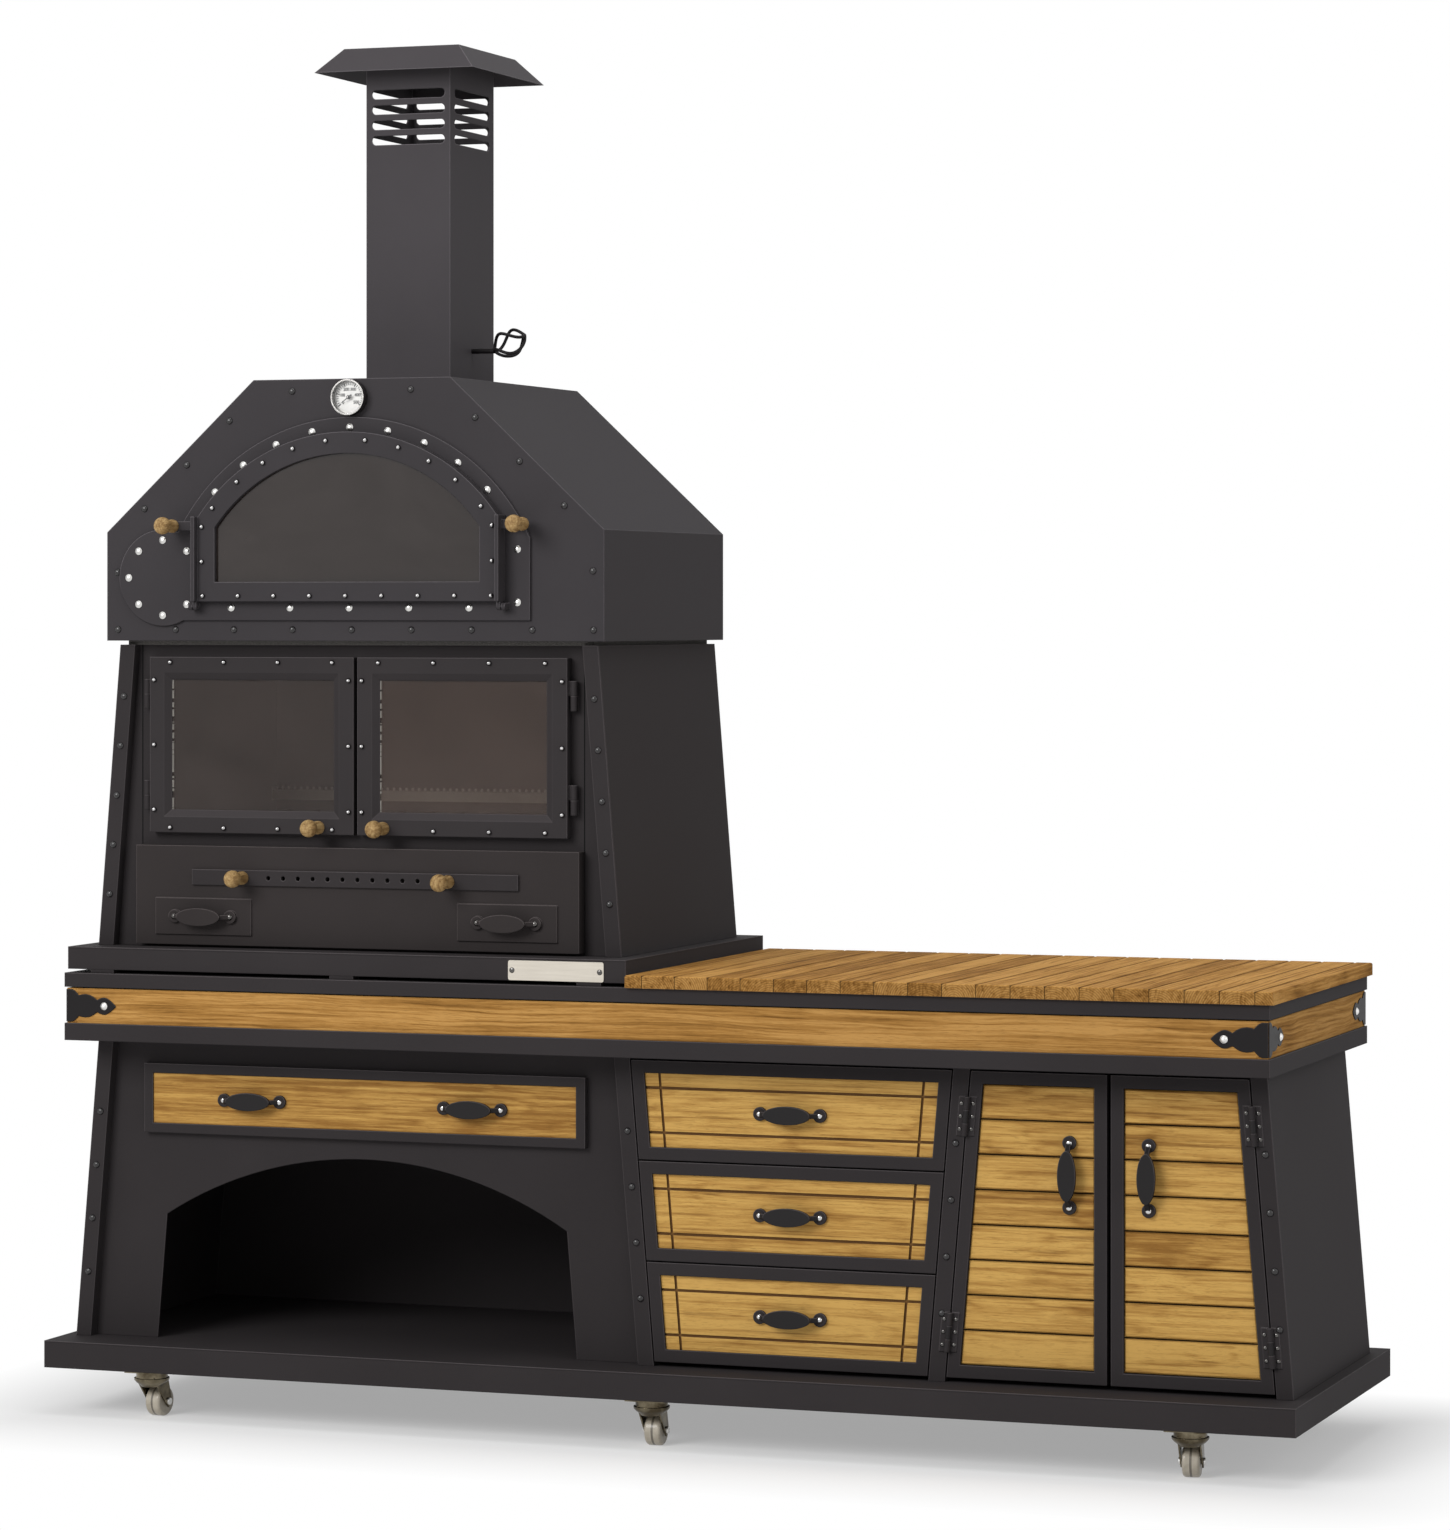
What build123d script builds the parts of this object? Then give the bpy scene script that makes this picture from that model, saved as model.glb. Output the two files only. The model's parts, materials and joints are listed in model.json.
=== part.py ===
from build123d import *
import math
import os

# Outdoor kitchen: a wood-fired oven on a battered steel stand, beside a plank worktop,
# over a base with a log bay, drawers and a cupboard, on six swivel castors.
# Millimetres, +Z up, front towards -Y, origin on the floor under the middle of the plinth.

# Sheet and general fits
SHEET = 3.0
FACE_GAP = 3.0
RUN_GAP = 0.5
PIN_FIT = 0.05
TURN_GAP = 0.3

# Castors
CASTOR_HEIGHT = 95.0
CASTOR_END_INSET = 210.0
CASTOR_SIDE_INSET = 52.0
CASTOR_PLATE = 80.0
CASTOR_PLATE_T = 4.0
CASTOR_TRAIL = 28.0
CASTOR_HEAD_R = 31.0
CASTOR_HEAD_T = 9.0
CASTOR_LEG_T = 3.0
CASTOR_LEG_W = 50.0
CASTOR_ANGLES = (354.0, 3.0, 8.0, 75.0, 110.0, 290.0)
KINGPIN_R = 6.0
WHEEL_R = 29.0
WHEEL_W = 33.0
WHEEL_SIDE_GAP = 2.0
WHEEL_ROUND = 6.0
AXLE_R = 5.0
AXLE_HEAD_R = 7.0
AXLE_HEAD_T = 3.0
FORK_EYE_R = 12.0

# Plinth
PLINTH_LENGTH = 2530.0
PLINTH_DEPTH = 780.0
CASTOR_ROW_X = PLINTH_LENGTH / 2 - CASTOR_END_INSET
CASTOR_ROW_Y = PLINTH_DEPTH / 2 - CASTOR_SIDE_INSET
PLINTH_HEIGHT = 53.0
BEAM_W = 80.0
BEAM_WALL = 4.0

# Base carcass
BASE_HEIGHT = 595.0
BASE_FRONT = -302.0
BASE_BACK = 322.0
BATTER = 50.0
SIDE_INSET = 28.0
LEFT_UNIT_TOP = 1130.0
RIGHT_UNIT_TOP = 600.0
STRIP_W = 32.0
LOG_RECESS = 25.0
CUPBOARD_RETURN = 34.0
OPENING_SILL = 9.0
OPENING_HEAD = 12.0
SHELF_HEIGHT = 280.0
SHELF_FRONT_CLEAR = 60.0
SHELF_FOLD = 2.0

# Log bay and its drawer
ARCH_HALF = 427.0
ARCH_SPRING = 246.0
ARCH_RISE = 123.0
LOG_SHELF_HEIGHT = 434.0
LOG_FRONT_W = 940.0
LOG_FRONT_H = 137.0
LOG_FRONT_T = 14.0
LOG_FRAME = 19.0
LOG_PULL_OFF = 235.0
LOG_PANEL_T = 8.0
LOG_PANEL_SET = 3.0
LOG_BOX_DEPTH = 430.0
LOG_BOX_MARGIN = 26.0

# Drawers
DRAWER_COUNT = 3
DRAWER_FRAME = 24.0
DRAWER_FRONT_T = 20.0
DRAWER_BOX_W = 470.0
DRAWER_BOX_DEPTH = 470.0
DRAWER_BOX_DROP = 34.0
DRAWER_BOX_H = 130.0
DRAWER_WALL = 3.0
RUNNER_T = 4.0
RUNNER_LAP = 22.0
PANEL_T = 10.0
PANEL_SET = 5.0
GROOVE_W = 5.0
GROOVE_DEPTH = 3.0
GROOVE_SIDE = 30.0
GROOVE_EDGE = 28.0

# Cupboard doors
DOOR_FRAME = 24.0
DOOR_T = 22.0
DOOR_MEETING_GAP = 8.0
SLAT_COUNT = 8
SLAT_GAP = 2.4
SLAT_T = 10.0
SLAT_SET = 5.0
SLAT_BEVEL = 3.0
DOOR_PULL_IN = 48.0
DOOR_PULL_UP = 99.0
HINGE_LENGTH = 74.0
HINGE_END = 48.0
HINGE_LEAF_W = 17.0
HINGE_LEAF_T = 2.0
HINGE_BARREL_R = 5.5
HINGE_PIN_R = 3.0

# Worktop
RAIL_LENGTH = 2436.0
RAIL_DEPTH = 788.0
LOWER_RAIL_H = 34.0
LOWER_RIM_W = 34.0
LOWER_FLANGE_W = 120.0
BAND_H = 71.0
UPPER_RAIL_H = 28.0
UPPER_RAIL_W = 40.0
BOARD_T = 22.0
BOARD_SET = 4.0
BOARD_GAP = 2.0
PLANK_T = 24.0
PLANK_DEPTH = 806.0
PLANK_W = 66.0
PLANK_END_MIN = 30.0
PLANK_TRAY_GAP = 5.0
PLANK_GAP = 1.2
PLANK_OVERHANG = 10.0
PLANK_ROUND = 4.0

# Oven tray and stand
FIRE_HALF = 425.0
STAND_STILE = 83.0
STAND_TOP_HALF = FIRE_HALF + STAND_STILE
STAND_BATTER = 48.0
TRAY_MARGIN = 34.0
TRAY_LENGTH = 2 * (STAND_TOP_HALF + STAND_BATTER + TRAY_MARGIN)
TRAY_DEPTH = 770.0
TRAY_HEIGHT = 44.0
TRAY_FOOT_H = 7.0
TRAY_FOOT_W = 50.0
STAND_HEIGHT = 595.0
STAND_FRONT = -320.0
STAND_BACK = 322.0
STAND_RECESS = 24.0
STAND_FLUE_W = 560.0
STAND_FLUE_D = 300.0
SEAL_T = 8.0
SEAL_W = 26.0
SEAL_INSET = 12.0

# Firebox, its doors and the ash drawer
FIRE_LOW = 238.0
FIRE_HIGH = 558.0
FIRE_WALL = 4.0
FIRE_DEPTH = 520.0
GRATE_BARS = 11
GRATE_BAR_W = 18.0
GRATE_BAR_H = 16.0
GRATE_SIDE = 72.0
GRATE_END = 104.0
AIR_BAR_UP = 33.0
AIR_BAR_H = 20.0
AIR_BAR_T = 20.0
FIRE_DOOR_LOW = 225.0
FIRE_DOOR_H = 346.0
FIRE_DOOR_LAP = 15.0
FIRE_DOOR_W = FIRE_HALF + FIRE_DOOR_LAP
FIRE_DOOR_T = 22.0
FIRE_DOOR_GAP = 8.0
FIRE_DOOR_FRAME = 45.0
FRAME_BEVEL = 14.0
FRAME_BEVEL_DEPTH = 7.0
GLASS_T = 5.0
GLASS_LAP = 9.0
GLASS_SET = 9.0
FIRE_HINGE_OUT = 10.0
FIRE_HINGE_R = 7.0
FIRE_HINGE_PIN_R = 4.0
FIRE_HINGE_H = 58.0
FIRE_HINGE_END = 44.0
FIRE_KNOB_OFF = 69.0
FIRE_KNOB_SHIFT = -10.0
FIRE_KNOB_UP = 14.0
ASH_FRONT_LAP = 46.0
ASH_FRONT_HALF = FIRE_HALF + ASH_FRONT_LAP
ASH_FRONT_LOW = 5.0
ASH_FRONT_H = 195.0
ASH_FRONT_T = 28.0
ASH_BOX_LAP = 10.0
ASH_BOX_HALF = FIRE_HALF + ASH_BOX_LAP
ASH_BOX_MARGIN = 14.0
ASH_BOX_DEPTH = 440.0
AIR_SLIDE_LENGTH = 693.0
AIR_SLIDE_H = 31.0
AIR_SLIDE_T = 5.0
AIR_SLIDE_UP = 118.0
AIR_TRAVEL = 16.0
AIR_HOLES = 11
AIR_HOLE_R = 4.5
AIR_HOLE_PITCH = 31.8
AIR_HOLE_SHIFT = -22.5
AIR_KNOB_OFF = 219.0
AIR_KNOB_SHIFT = -18.0
AIR_BOLT_R = 4.0
AIR_WASHER_R = 9.0
AIR_WASHER_T = 2.5
ASH_PLATE_W = 208.0
ASH_PLATE_H = 72.0
ASH_PLATE_T = 4.0
ASH_PLATE_OFF = 323.0
ASH_PLATE_UP = 20.0

# Hood and oven
HOOD_SIDE_OUT = 20.0
HOOD_HALF = STAND_TOP_HALF + HOOD_SIDE_OUT
HOOD_TOP_HALF = 209.0
HOOD_FRONT = -338.0
HOOD_BACK = 318.0
HOOD_SIDE_H = 214.0
HOOD_HEIGHT = 510.0
VAULT_CENTRE = 16.0
MOUTH_HALF = 290.0
MOUTH_R = 357.0
MOUTH_SILL = 106.0
SURROUND_T = 6.0
SURROUND_HALF = 377.0
SURROUND_R = 419.0
SURROUND_SILL = 40.0
LOBE_OFF = 403.0
LOBE_UP = 124.0
LOBE_R = 95.0
CHAMBER_SIDE = 6.0
CHAMBER_DEPTH = 580.0
CHAMBER_LEG_W = 10.0
CHAMBER_LEG_GAP = 2.5
STONE_T = 24.0
STONE_CLEAR = 1.0
OVEN_DOOR_HALF = 318.0
OVEN_DOOR_R = 390.0
OVEN_DOOR_SILL = 77.0
OVEN_DOOR_T = 20.0
OVEN_GLASS_HALF = 281.0
OVEN_GLASS_R = 348.0
OVEN_GLASS_SILL = 115.0
BAR_T = 8.0
BAR_DEPTH = 34.0
BAR_H = 176.0
OVEN_PIVOT_UP = 67.0
OVEN_PIVOT_OUT = 18.0
OVEN_PIVOT_R = 7.0
OVEN_PIN_R = 4.0
LUG_T = 8.0
LUG_GAP = 1.5
ARM_LENGTH = 54.0
ARM_H = 18.0
ARM_T = 6.0
ARM_DROP = 18.0

# Chimney
FLUE_W = 182.0
FLUE_D = 222.0
FLUE_Y = 46.0
FLUE_WALL = 3.0
CAP_RIM_W = 342.0
CAP_RIM_D = 370.0
CAP_TOP_W = 248.0
CAP_TOP_D = 290.0
CAP_HEIGHT = 50.0
CAP_RIM_UP = 620.0
CAP_WALL = 3.0
SLOT_ROWS = 4
SLOT_PITCH = 30.6
SLOT_H = 18.0
SLOT_MARGIN_X = 12.0
SLOT_MARGIN_Y = 22.0
SLOT_TOP_DROP = 40.0
DAMPER_UP = 70.0
DAMPER_SHAFT_R = 5.0
DAMPER_CLEAR = 5.0
DAMPER_T = 3.0
DAMPER_OUT = 49.0
BASKET_LENGTH = 72.0
BASKET_R = 31.0
BASKET_WIRES = 4
BASKET_WIRE_R = 3.2
BASKET_TILT = 25.0
BASKET_TWIST = 100.0
BASKET_STEPS = 4

# Thermometer
DIAL_R = 35.0
DIAL_DEPTH = 20.0
DIAL_WALL = 3.0
DIAL_DROP = 37.0
DIAL_BACK_T = 6.0
LENS_T = 2.5
PROBE_R = 4.0
PROBE_LENGTH = 90.0
NEEDLE_LENGTH = 24.0
NEEDLE_TAIL = 8.0
NEEDLE_W = 3.0
NEEDLE_T = 1.2
NEEDLE_HUB_R = 4.0
NEEDLE_REST = 215.0
SPINDLE_R = 1.5

# Turned wooden knob and forged pull
KNOB_LENGTH = 62.0
KNOB_R = 17.0
KNOB_NECK_R = 9.0
KNOB_FOOT_R = 13.0
KNOB_FOOT_T = 7.0
PULL_PITCH = 120.0
PULL_LEAF = 94.0
PULL_LEAF_H = 35.0
PULL_LEAF_T = 6.0
PULL_OUT = 26.0
PULL_NECK = 9.0
PULL_ROSE_R = 13.0
PULL_ROSE_T = 6.0

# Heights worked out from the stack of pieces
Z_PLINTH = CASTOR_HEIGHT
Z_DECK = Z_PLINTH + PLINTH_HEIGHT
Z_RAIL = Z_DECK + BASE_HEIGHT
Z_BAND = Z_RAIL + LOWER_RAIL_H
Z_UPPER = Z_BAND + BAND_H
Z_TOP = Z_UPPER + UPPER_RAIL_H
Z_TRAY = Z_TOP + TRAY_FOOT_H
Z_STAND = Z_TRAY + TRAY_HEIGHT
Z_SEAL = Z_STAND + STAND_HEIGHT
Z_HOOD = Z_SEAL + SEAL_T
Z_FLUE = Z_HOOD + HOOD_HEIGHT
Z_CAP = Z_FLUE + CAP_RIM_UP
Z_CAP_TOP = Z_CAP + CAP_HEIGHT
Z_VAULT = Z_HOOD + VAULT_CENTRE

# Positions across the front
X_END = RAIL_LENGTH / 2 - SIDE_INSET
X_LEFT = -X_END + LEFT_UNIT_TOP / 2
X_RIGHT = X_END - RIGHT_UNIT_TOP / 2
X_DRAWERS = (X_LEFT + LEFT_UNIT_TOP / 2 + X_RIGHT - RIGHT_UNIT_TOP / 2) / 2
PLANK_START = X_LEFT + TRAY_LENGTH / 2 + PLANK_TRAY_GAP
PLANK_ROOM = RAIL_LENGTH / 2 + PLANK_OVERHANG - PLANK_START
PLANK_COUNT = int((PLANK_ROOM - 2 * PLANK_END_MIN) // PLANK_W)
PLANK_END_W = (PLANK_ROOM - PLANK_COUNT * PLANK_W) / 2
LOG_FACE = BASE_FRONT + LOG_RECESS
STAND_FACE = STAND_FRONT + STAND_RECESS

# Pieces are drawn about the middle of the plinth, then moved so that the whole depth is centred
FRONT_MOST = HOOD_FRONT - SURROUND_T - RUN_GAP - OVEN_DOOR_T - KNOB_LENGTH
BACK_MOST = PLANK_DEPTH / 2
Y_SHIFT = -(FRONT_MOST + BACK_MOST) / 2


def block(x0, x1, y0, y1, z0, z1):
    """Box between two corners."""
    middle = Pos((x0 + x1) / 2, (y0 + y1) / 2, (z0 + z1) / 2)
    return middle * Box(x1 - x0, y1 - y0, z1 - z0)


def upright(points, y0, y1):
    """Plate whose outline of x, z points stands upright, between two depths."""
    outline = Polyline(*[(x, y0, z) for x, z in points], close=True)
    return extrude(make_face(outline), amount=y1 - y0, dir=(0, 1, 0))


def rod(start, end, radius):
    """Round bar between two points."""
    a = Vector(*start)
    b = Vector(*end)
    base = Plane(origin=a, z_dir=b - a)
    return base * Cylinder(radius, (b - a).length, align=(Align.CENTER, Align.CENTER, Align.MIN))


def lean(x_top, run, z_top, z_foot):
    """Sloping edge, as a function that gives its x at a height."""
    return lambda z: x_top + run * (z_top - z) / (z_top - z_foot)


def shift(edge, distance):
    """The same sloping edge, moved sideways."""
    return lambda z: edge(z) + distance


def between(edge_a, edge_b, z0, z1, y0, y1):
    """Plate between two sloping edges."""
    corners = [(edge_a(z0), z0), (edge_b(z0), z0), (edge_b(z1), z1), (edge_a(z1), z1)]
    return upright(corners, y0, y1)


def frame_between(edge_a, edge_b, z0, z1, y0, y1, border):
    """Picture frame between two sloping edges, and its opening."""
    outer = between(edge_a, edge_b, z0, z1, y0, y1)
    inner = between(shift(edge_a, border), shift(edge_b, -border), z0 + border, z1 - border, y0, y1)
    return outer - inner


def arch_outline(x, half, radius, z_low, z_centre, y):
    """Upright-sided arch with a round head, as a face at depth y."""
    spring = z_centre + math.sqrt(radius**2 - half**2)
    left = Line((x - half, y, z_low), (x - half, y, spring))
    head = ThreePointArc((x - half, y, spring), (x, y, z_centre + radius), (x + half, y, spring))
    right = Line((x + half, y, spring), (x + half, y, z_low))
    sill = Line((x + half, y, z_low), (x - half, y, z_low))
    return make_face([left, head, right, sill])


def arch_plate(half, radius, z_low, y0, y1):
    """Arched plate of the oven, centred on the left unit."""
    return extrude(arch_outline(X_LEFT, half, radius, z_low, Z_VAULT, y0), amount=y1 - y0, dir=(0, 1, 0))


def open_tray(x0, x1, y0, y1, z0, z1, wall):
    """Sheet box without a lid."""
    outer = block(x0, x1, y0, y1, z0, z1)
    return outer - block(x0 + wall, x1 - wall, y0 + wall, y1 - wall, z0 + wall, z1)


def knob(x, y, z):
    """Turned knob standing out towards the front from a foot at y."""
    waist = KNOB_LENGTH - 2 * KNOB_R
    ball = KNOB_LENGTH - KNOB_R
    side = Polyline((0, 0), (KNOB_FOOT_R, 0), (KNOB_FOOT_R, KNOB_FOOT_T), (KNOB_NECK_R, waist))
    join = math.sqrt(KNOB_R**2 - KNOB_NECK_R**2)
    rise = Line((KNOB_NECK_R, waist), (KNOB_NECK_R, ball - join))
    dome = ThreePointArc((KNOB_NECK_R, ball - join), (KNOB_R, ball), (0, KNOB_LENGTH))
    axis = Line((0, KNOB_LENGTH), (0, 0))
    turned = revolve(make_face(side.edges() + [rise, dome, axis]), Axis.Y)
    return Pos(x, y, z) * Rot(0, 0, 180) * turned


def pull(x, y, z, turn=0.0):
    """Forged pull with a flat oval grip between two roses, on a face at y."""
    half = PULL_LEAF / 2
    oval = Plane.XZ * Ellipse(half, PULL_LEAF_H / 2)
    grip = Pos(0, -PULL_OUT, 0) * extrude(oval, amount=PULL_LEAF_T, dir=(0, 1, 0))
    for side in (-1, 1):
        rose_x = side * PULL_PITCH / 2
        rose = rod((rose_x, 0, 0), (rose_x, -PULL_ROSE_T, 0), PULL_ROSE_R)
        tip = half - PULL_NECK
        back = PULL_OUT - PULL_LEAF_T
        plan = [(side * tip, -PULL_OUT), (rose_x + side * PULL_NECK / 2, -PULL_ROSE_T)]
        plan += [(rose_x - side * PULL_NECK / 2, -PULL_ROSE_T), (side * tip, -back)]
        flat = make_face(Polyline(*[(px, py, -PULL_NECK / 2) for px, py in plan], close=True))
        grip = grip + rose + extrude(flat, amount=PULL_NECK, dir=(0, 0, 1))
    return Pos(x, y, z) * Rot(0, turn, 0) * grip


def save(name, *shapes):
    """Write one named piece, or a group of separate solids, to its file."""
    solids = [Pos(0, Y_SHIFT, 0) * solid for shape in shapes for solid in shape.solids()]
    export_step(solids[0] if len(solids) == 1 else Compound(solids), f"parts/{name}.step")


def skirted_deck(x0, x1, half_y, z0, z1):
    """Deck plate with four welded skirts, open below."""
    under = z1 - SHEET
    plates = [block(x0, x1, -half_y, half_y, under, z1)]
    plates += [block(x0, x1, y, y + SHEET, z0, under) for y in (-half_y, half_y - SHEET)]
    inner = half_y - SHEET
    plates += [block(x, x + SHEET, -inner, inner, z0, under) for x in (x0, x1 - SHEET)]
    return plates


def plinth():
    """Deck with welded skirts, stiffened by cross beams that carry the castors."""
    half_x = PLINTH_LENGTH / 2
    half_y = PLINTH_DEPTH / 2
    under = Z_DECK - SHEET
    plates = skirted_deck(-half_x, half_x, half_y, Z_PLINTH, Z_DECK)
    beams = []
    for x in (-CASTOR_ROW_X, 0, CASTOR_ROW_X):
        tube = block(x - BEAM_W / 2, x + BEAM_W / 2, SHEET - half_y, half_y - SHEET, Z_PLINTH, under)
        inside = BEAM_W / 2 - BEAM_WALL
        bore = block(x - inside, x + inside, -half_y, half_y, Z_PLINTH + BEAM_WALL, under - BEAM_WALL)
        beams.append(tube - bore)
    save("plinth", *plates, *beams)


def axle_rod(start, end, radius):
    """Round bar along a castor's axle."""
    return rod((start, CASTOR_TRAIL, WHEEL_R), (end, CASTOR_TRAIL, WHEEL_R), radius)


def castors():
    """Six swivel castors: top plates with king pins, forks, and wheels with their stub axles."""
    plates = []
    z_plate = Z_PLINTH - CASTOR_PLATE_T
    z_head = z_plate - TURN_GAP
    z_crown = z_head - CASTOR_HEAD_T
    z_leg = z_crown - CASTOR_LEG_T
    places = [(x, y) for y in (-CASTOR_ROW_Y, CASTOR_ROW_Y) for x in (-CASTOR_ROW_X, 0, CASTOR_ROW_X)]
    for number, ((x, y), angle) in enumerate(zip(places, CASTOR_ANGLES), start=1):
        half = CASTOR_PLATE / 2
        plate = block(x - half, x + half, y - half, y + half, z_plate, Z_PLINTH)
        plates.append(plate + rod((x, y, z_crown), (x, y, z_plate), KINGPIN_R))
        leg_in = WHEEL_W / 2 + WHEEL_SIDE_GAP
        leg_out = leg_in + CASTOR_LEG_T
        head = rod((0, 0, z_leg), (0, 0, z_head), CASTOR_HEAD_R)
        bore = rod((0, 0, z_crown - TURN_GAP), (0, 0, z_head), KINGPIN_R + PIN_FIT)
        fork = head - bore
        profile = [(-CASTOR_LEG_W / 2, z_leg), (CASTOR_LEG_W / 2, z_leg)]
        profile += [(CASTOR_TRAIL + FORK_EYE_R, WHEEL_R), (CASTOR_TRAIL, WHEEL_R - FORK_EYE_R)]
        profile += [(CASTOR_TRAIL - FORK_EYE_R, WHEEL_R)]
        for side in (-1, 1):
            near = min(side * leg_in, side * leg_out)
            outline = Polyline(*[(near, py, pz) for py, pz in profile], close=True)
            fork += extrude(make_face(outline), amount=CASTOR_LEG_T, dir=(1, 0, 0))
        bridge = CASTOR_LEG_W / 2
        fork += block(-leg_out, leg_out, -bridge, bridge, z_leg, z_crown - TURN_GAP)
        fork -= axle_rod(-leg_out, leg_out, AXLE_R + PIN_FIT)
        rim = WHEEL_W / 2
        tyre = axle_rod(-rim, rim, WHEEL_R)
        wheel = [fillet(tyre.edges().filter_by(GeomType.CIRCLE), WHEEL_ROUND)]
        head = leg_out + TURN_GAP
        for side in (-1, 1):
            wheel.append(axle_rod(side * rim, side * head, AXLE_R))
            wheel.append(axle_rod(side * head, side * (head + AXLE_HEAD_T), AXLE_HEAD_R))
        place = Pos(x, y, 0) * Rot(0, 0, angle)
        save(f"caster_fork_{number}", place * fork)
        save(f"caster_wheel_{number}", *[place * solid for solid in wheel])
    save("caster_plates", *plates)


LEFT_OUTER = lean(X_LEFT - LEFT_UNIT_TOP / 2, -BATTER, Z_RAIL, Z_DECK)
LEFT_INNER = lean(X_LEFT + LEFT_UNIT_TOP / 2, BATTER, Z_RAIL, Z_DECK)
RIGHT_INNER = lean(X_RIGHT - RIGHT_UNIT_TOP / 2, -BATTER, Z_RAIL, Z_DECK)
RIGHT_OUTER = lean(X_RIGHT + RIGHT_UNIT_TOP / 2, BATTER, Z_RAIL, Z_DECK)


def base_panels(runners):
    """Four battered side panels, the back, the log shelf, the cupboard shelf and the drawer runners."""
    y0 = BASE_FRONT + SHEET
    y1 = BASE_BACK - SHEET
    panels = []
    for edge, inward in ((LEFT_OUTER, 1), (LEFT_INNER, -1), (RIGHT_INNER, 1), (RIGHT_OUTER, -1)):
        panels.append(between(edge, shift(edge, inward * SHEET), Z_DECK, Z_RAIL, y0, y1))
    panels.append(between(LEFT_OUTER, RIGHT_OUTER, Z_DECK, Z_RAIL, y1, BASE_BACK))
    shelf = Z_DECK + LOG_SHELF_HEIGHT
    left_in = shift(LEFT_OUTER, SHEET)
    left_out = shift(LEFT_INNER, -SHEET)
    panels.append(between(left_in, left_out, shelf - SHEET, shelf, LOG_FACE + SHEET, y1))
    shelf = Z_DECK + SHELF_HEIGHT
    right_in = shift(RIGHT_INNER, SHEET)
    right_out = shift(RIGHT_OUTER, -SHEET)
    board = between(right_in, right_out, shelf - SHEET, shelf, BASE_FRONT + SHELF_FRONT_CLEAR, y1)
    panels.append(fillet(board.edges().filter_by(Axis.Y).group_by(Axis.Z)[-1], SHELF_FOLD))
    save("base_panels", *panels, *runners)


def angle_strip(edge, inward, z0, z1, front, depth):
    """Riveted corner angle: a front leg along a sloping edge and a return at its inner side."""
    leg = between(edge, shift(edge, inward * STRIP_W), z0, z1, front, front + SHEET)
    inner = shift(edge, inward * STRIP_W)
    back_leg = between(shift(inner, -inward * SHEET), inner, z0, z1, front, front + depth)
    return leg + back_leg


def log_bay_front():
    """Recessed front of the log bay with its arch and the drawer slot."""
    left_in = shift(LEFT_OUTER, SHEET)
    right_in = shift(LEFT_INNER, -SHEET)
    sheet = between(left_in, right_in, Z_DECK, Z_RAIL, LOG_FACE, LOG_FACE + SHEET)
    slope = BATTER / BASE_HEIGHT
    z_spring = Z_DECK + ARCH_SPRING
    foot = ARCH_HALF + slope * ARCH_SPRING
    y = LOG_FACE
    left = Line((X_LEFT - foot, y, Z_DECK), (X_LEFT - ARCH_HALF, y, z_spring))
    crown = (X_LEFT, y, z_spring + ARCH_RISE)
    head = ThreePointArc((X_LEFT - ARCH_HALF, y, z_spring), crown, (X_LEFT + ARCH_HALF, y, z_spring))
    right = Line((X_LEFT + ARCH_HALF, y, z_spring), (X_LEFT + foot, y, Z_DECK))
    sill = Line((X_LEFT + foot, y, Z_DECK), (X_LEFT - foot, y, Z_DECK))
    sheet -= extrude(make_face([left, head, right, sill]), amount=SHEET, dir=(0, 1, 0))
    x0, x1, z0, z1 = log_box_section()
    clear = FACE_GAP
    sheet -= block(x0 - clear, x1 + clear, y, y + SHEET, z0, z1 + clear)
    save("log_bay_front", sheet)


def log_box_section():
    """Edges of the log drawer's box, which slides on the log shelf."""
    half = LOG_FRONT_W / 2 - LOG_BOX_MARGIN
    low = Z_DECK + LOG_SHELF_HEIGHT
    return X_LEFT - half, X_LEFT + half, low, low + LOG_FRONT_H - 2 * LOG_BOX_MARGIN


def log_drawer():
    """Wide drawer over the log bay: steel front frame and box, wooden panel, two pulls."""
    x0, x1, z0, z1 = log_box_section()
    low = z0 - LOG_BOX_MARGIN
    high = low + LOG_FRONT_H
    half = LOG_FRONT_W / 2
    back = LOG_FACE - RUN_GAP
    front = back - LOG_FRONT_T
    frame = block(X_LEFT - half, X_LEFT + half, front, back, low, high)
    inset = half - LOG_FRAME
    panel_back = front + LOG_PANEL_SET + LOG_PANEL_T
    frame -= block(X_LEFT - inset, X_LEFT + inset, front, panel_back, low + LOG_FRAME, high - LOG_FRAME)
    body = frame + open_tray(x0, x1, back, back + LOG_BOX_DEPTH, z0, z1, DRAWER_WALL)
    lift = (low + high) / 2
    face = front + LOG_PANEL_SET
    panel = block(X_LEFT - inset, X_LEFT + inset, face, panel_back, low + LOG_FRAME, high - LOG_FRAME)
    pulls = [pull(X_LEFT + side * LOG_PULL_OFF, face, lift) for side in (-1, 1)]
    save("log_drawer_box", body, *pulls)
    save("log_drawer_panel", panel)


def grooved_panel(edge_a, edge_b, z0, z1, face):
    """Drawer panel with two upright and two level grooves cut in its face."""
    panel = between(edge_a, edge_b, z0, z1, face, face + PANEL_T)
    deep = face + GROOVE_DEPTH
    for z in (z0 + GROOVE_EDGE, z1 - GROOVE_EDGE):
        wide = between(edge_a, edge_b, z - GROOVE_W / 2, z + GROOVE_W / 2, face, deep)
        panel -= wide
    for edge in (shift(edge_a, GROOVE_SIDE), shift(edge_b, -GROOVE_SIDE)):
        panel -= between(shift(edge, -GROOVE_W / 2), shift(edge, GROOVE_W / 2), z0, z1, face, deep)
    return panel


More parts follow.
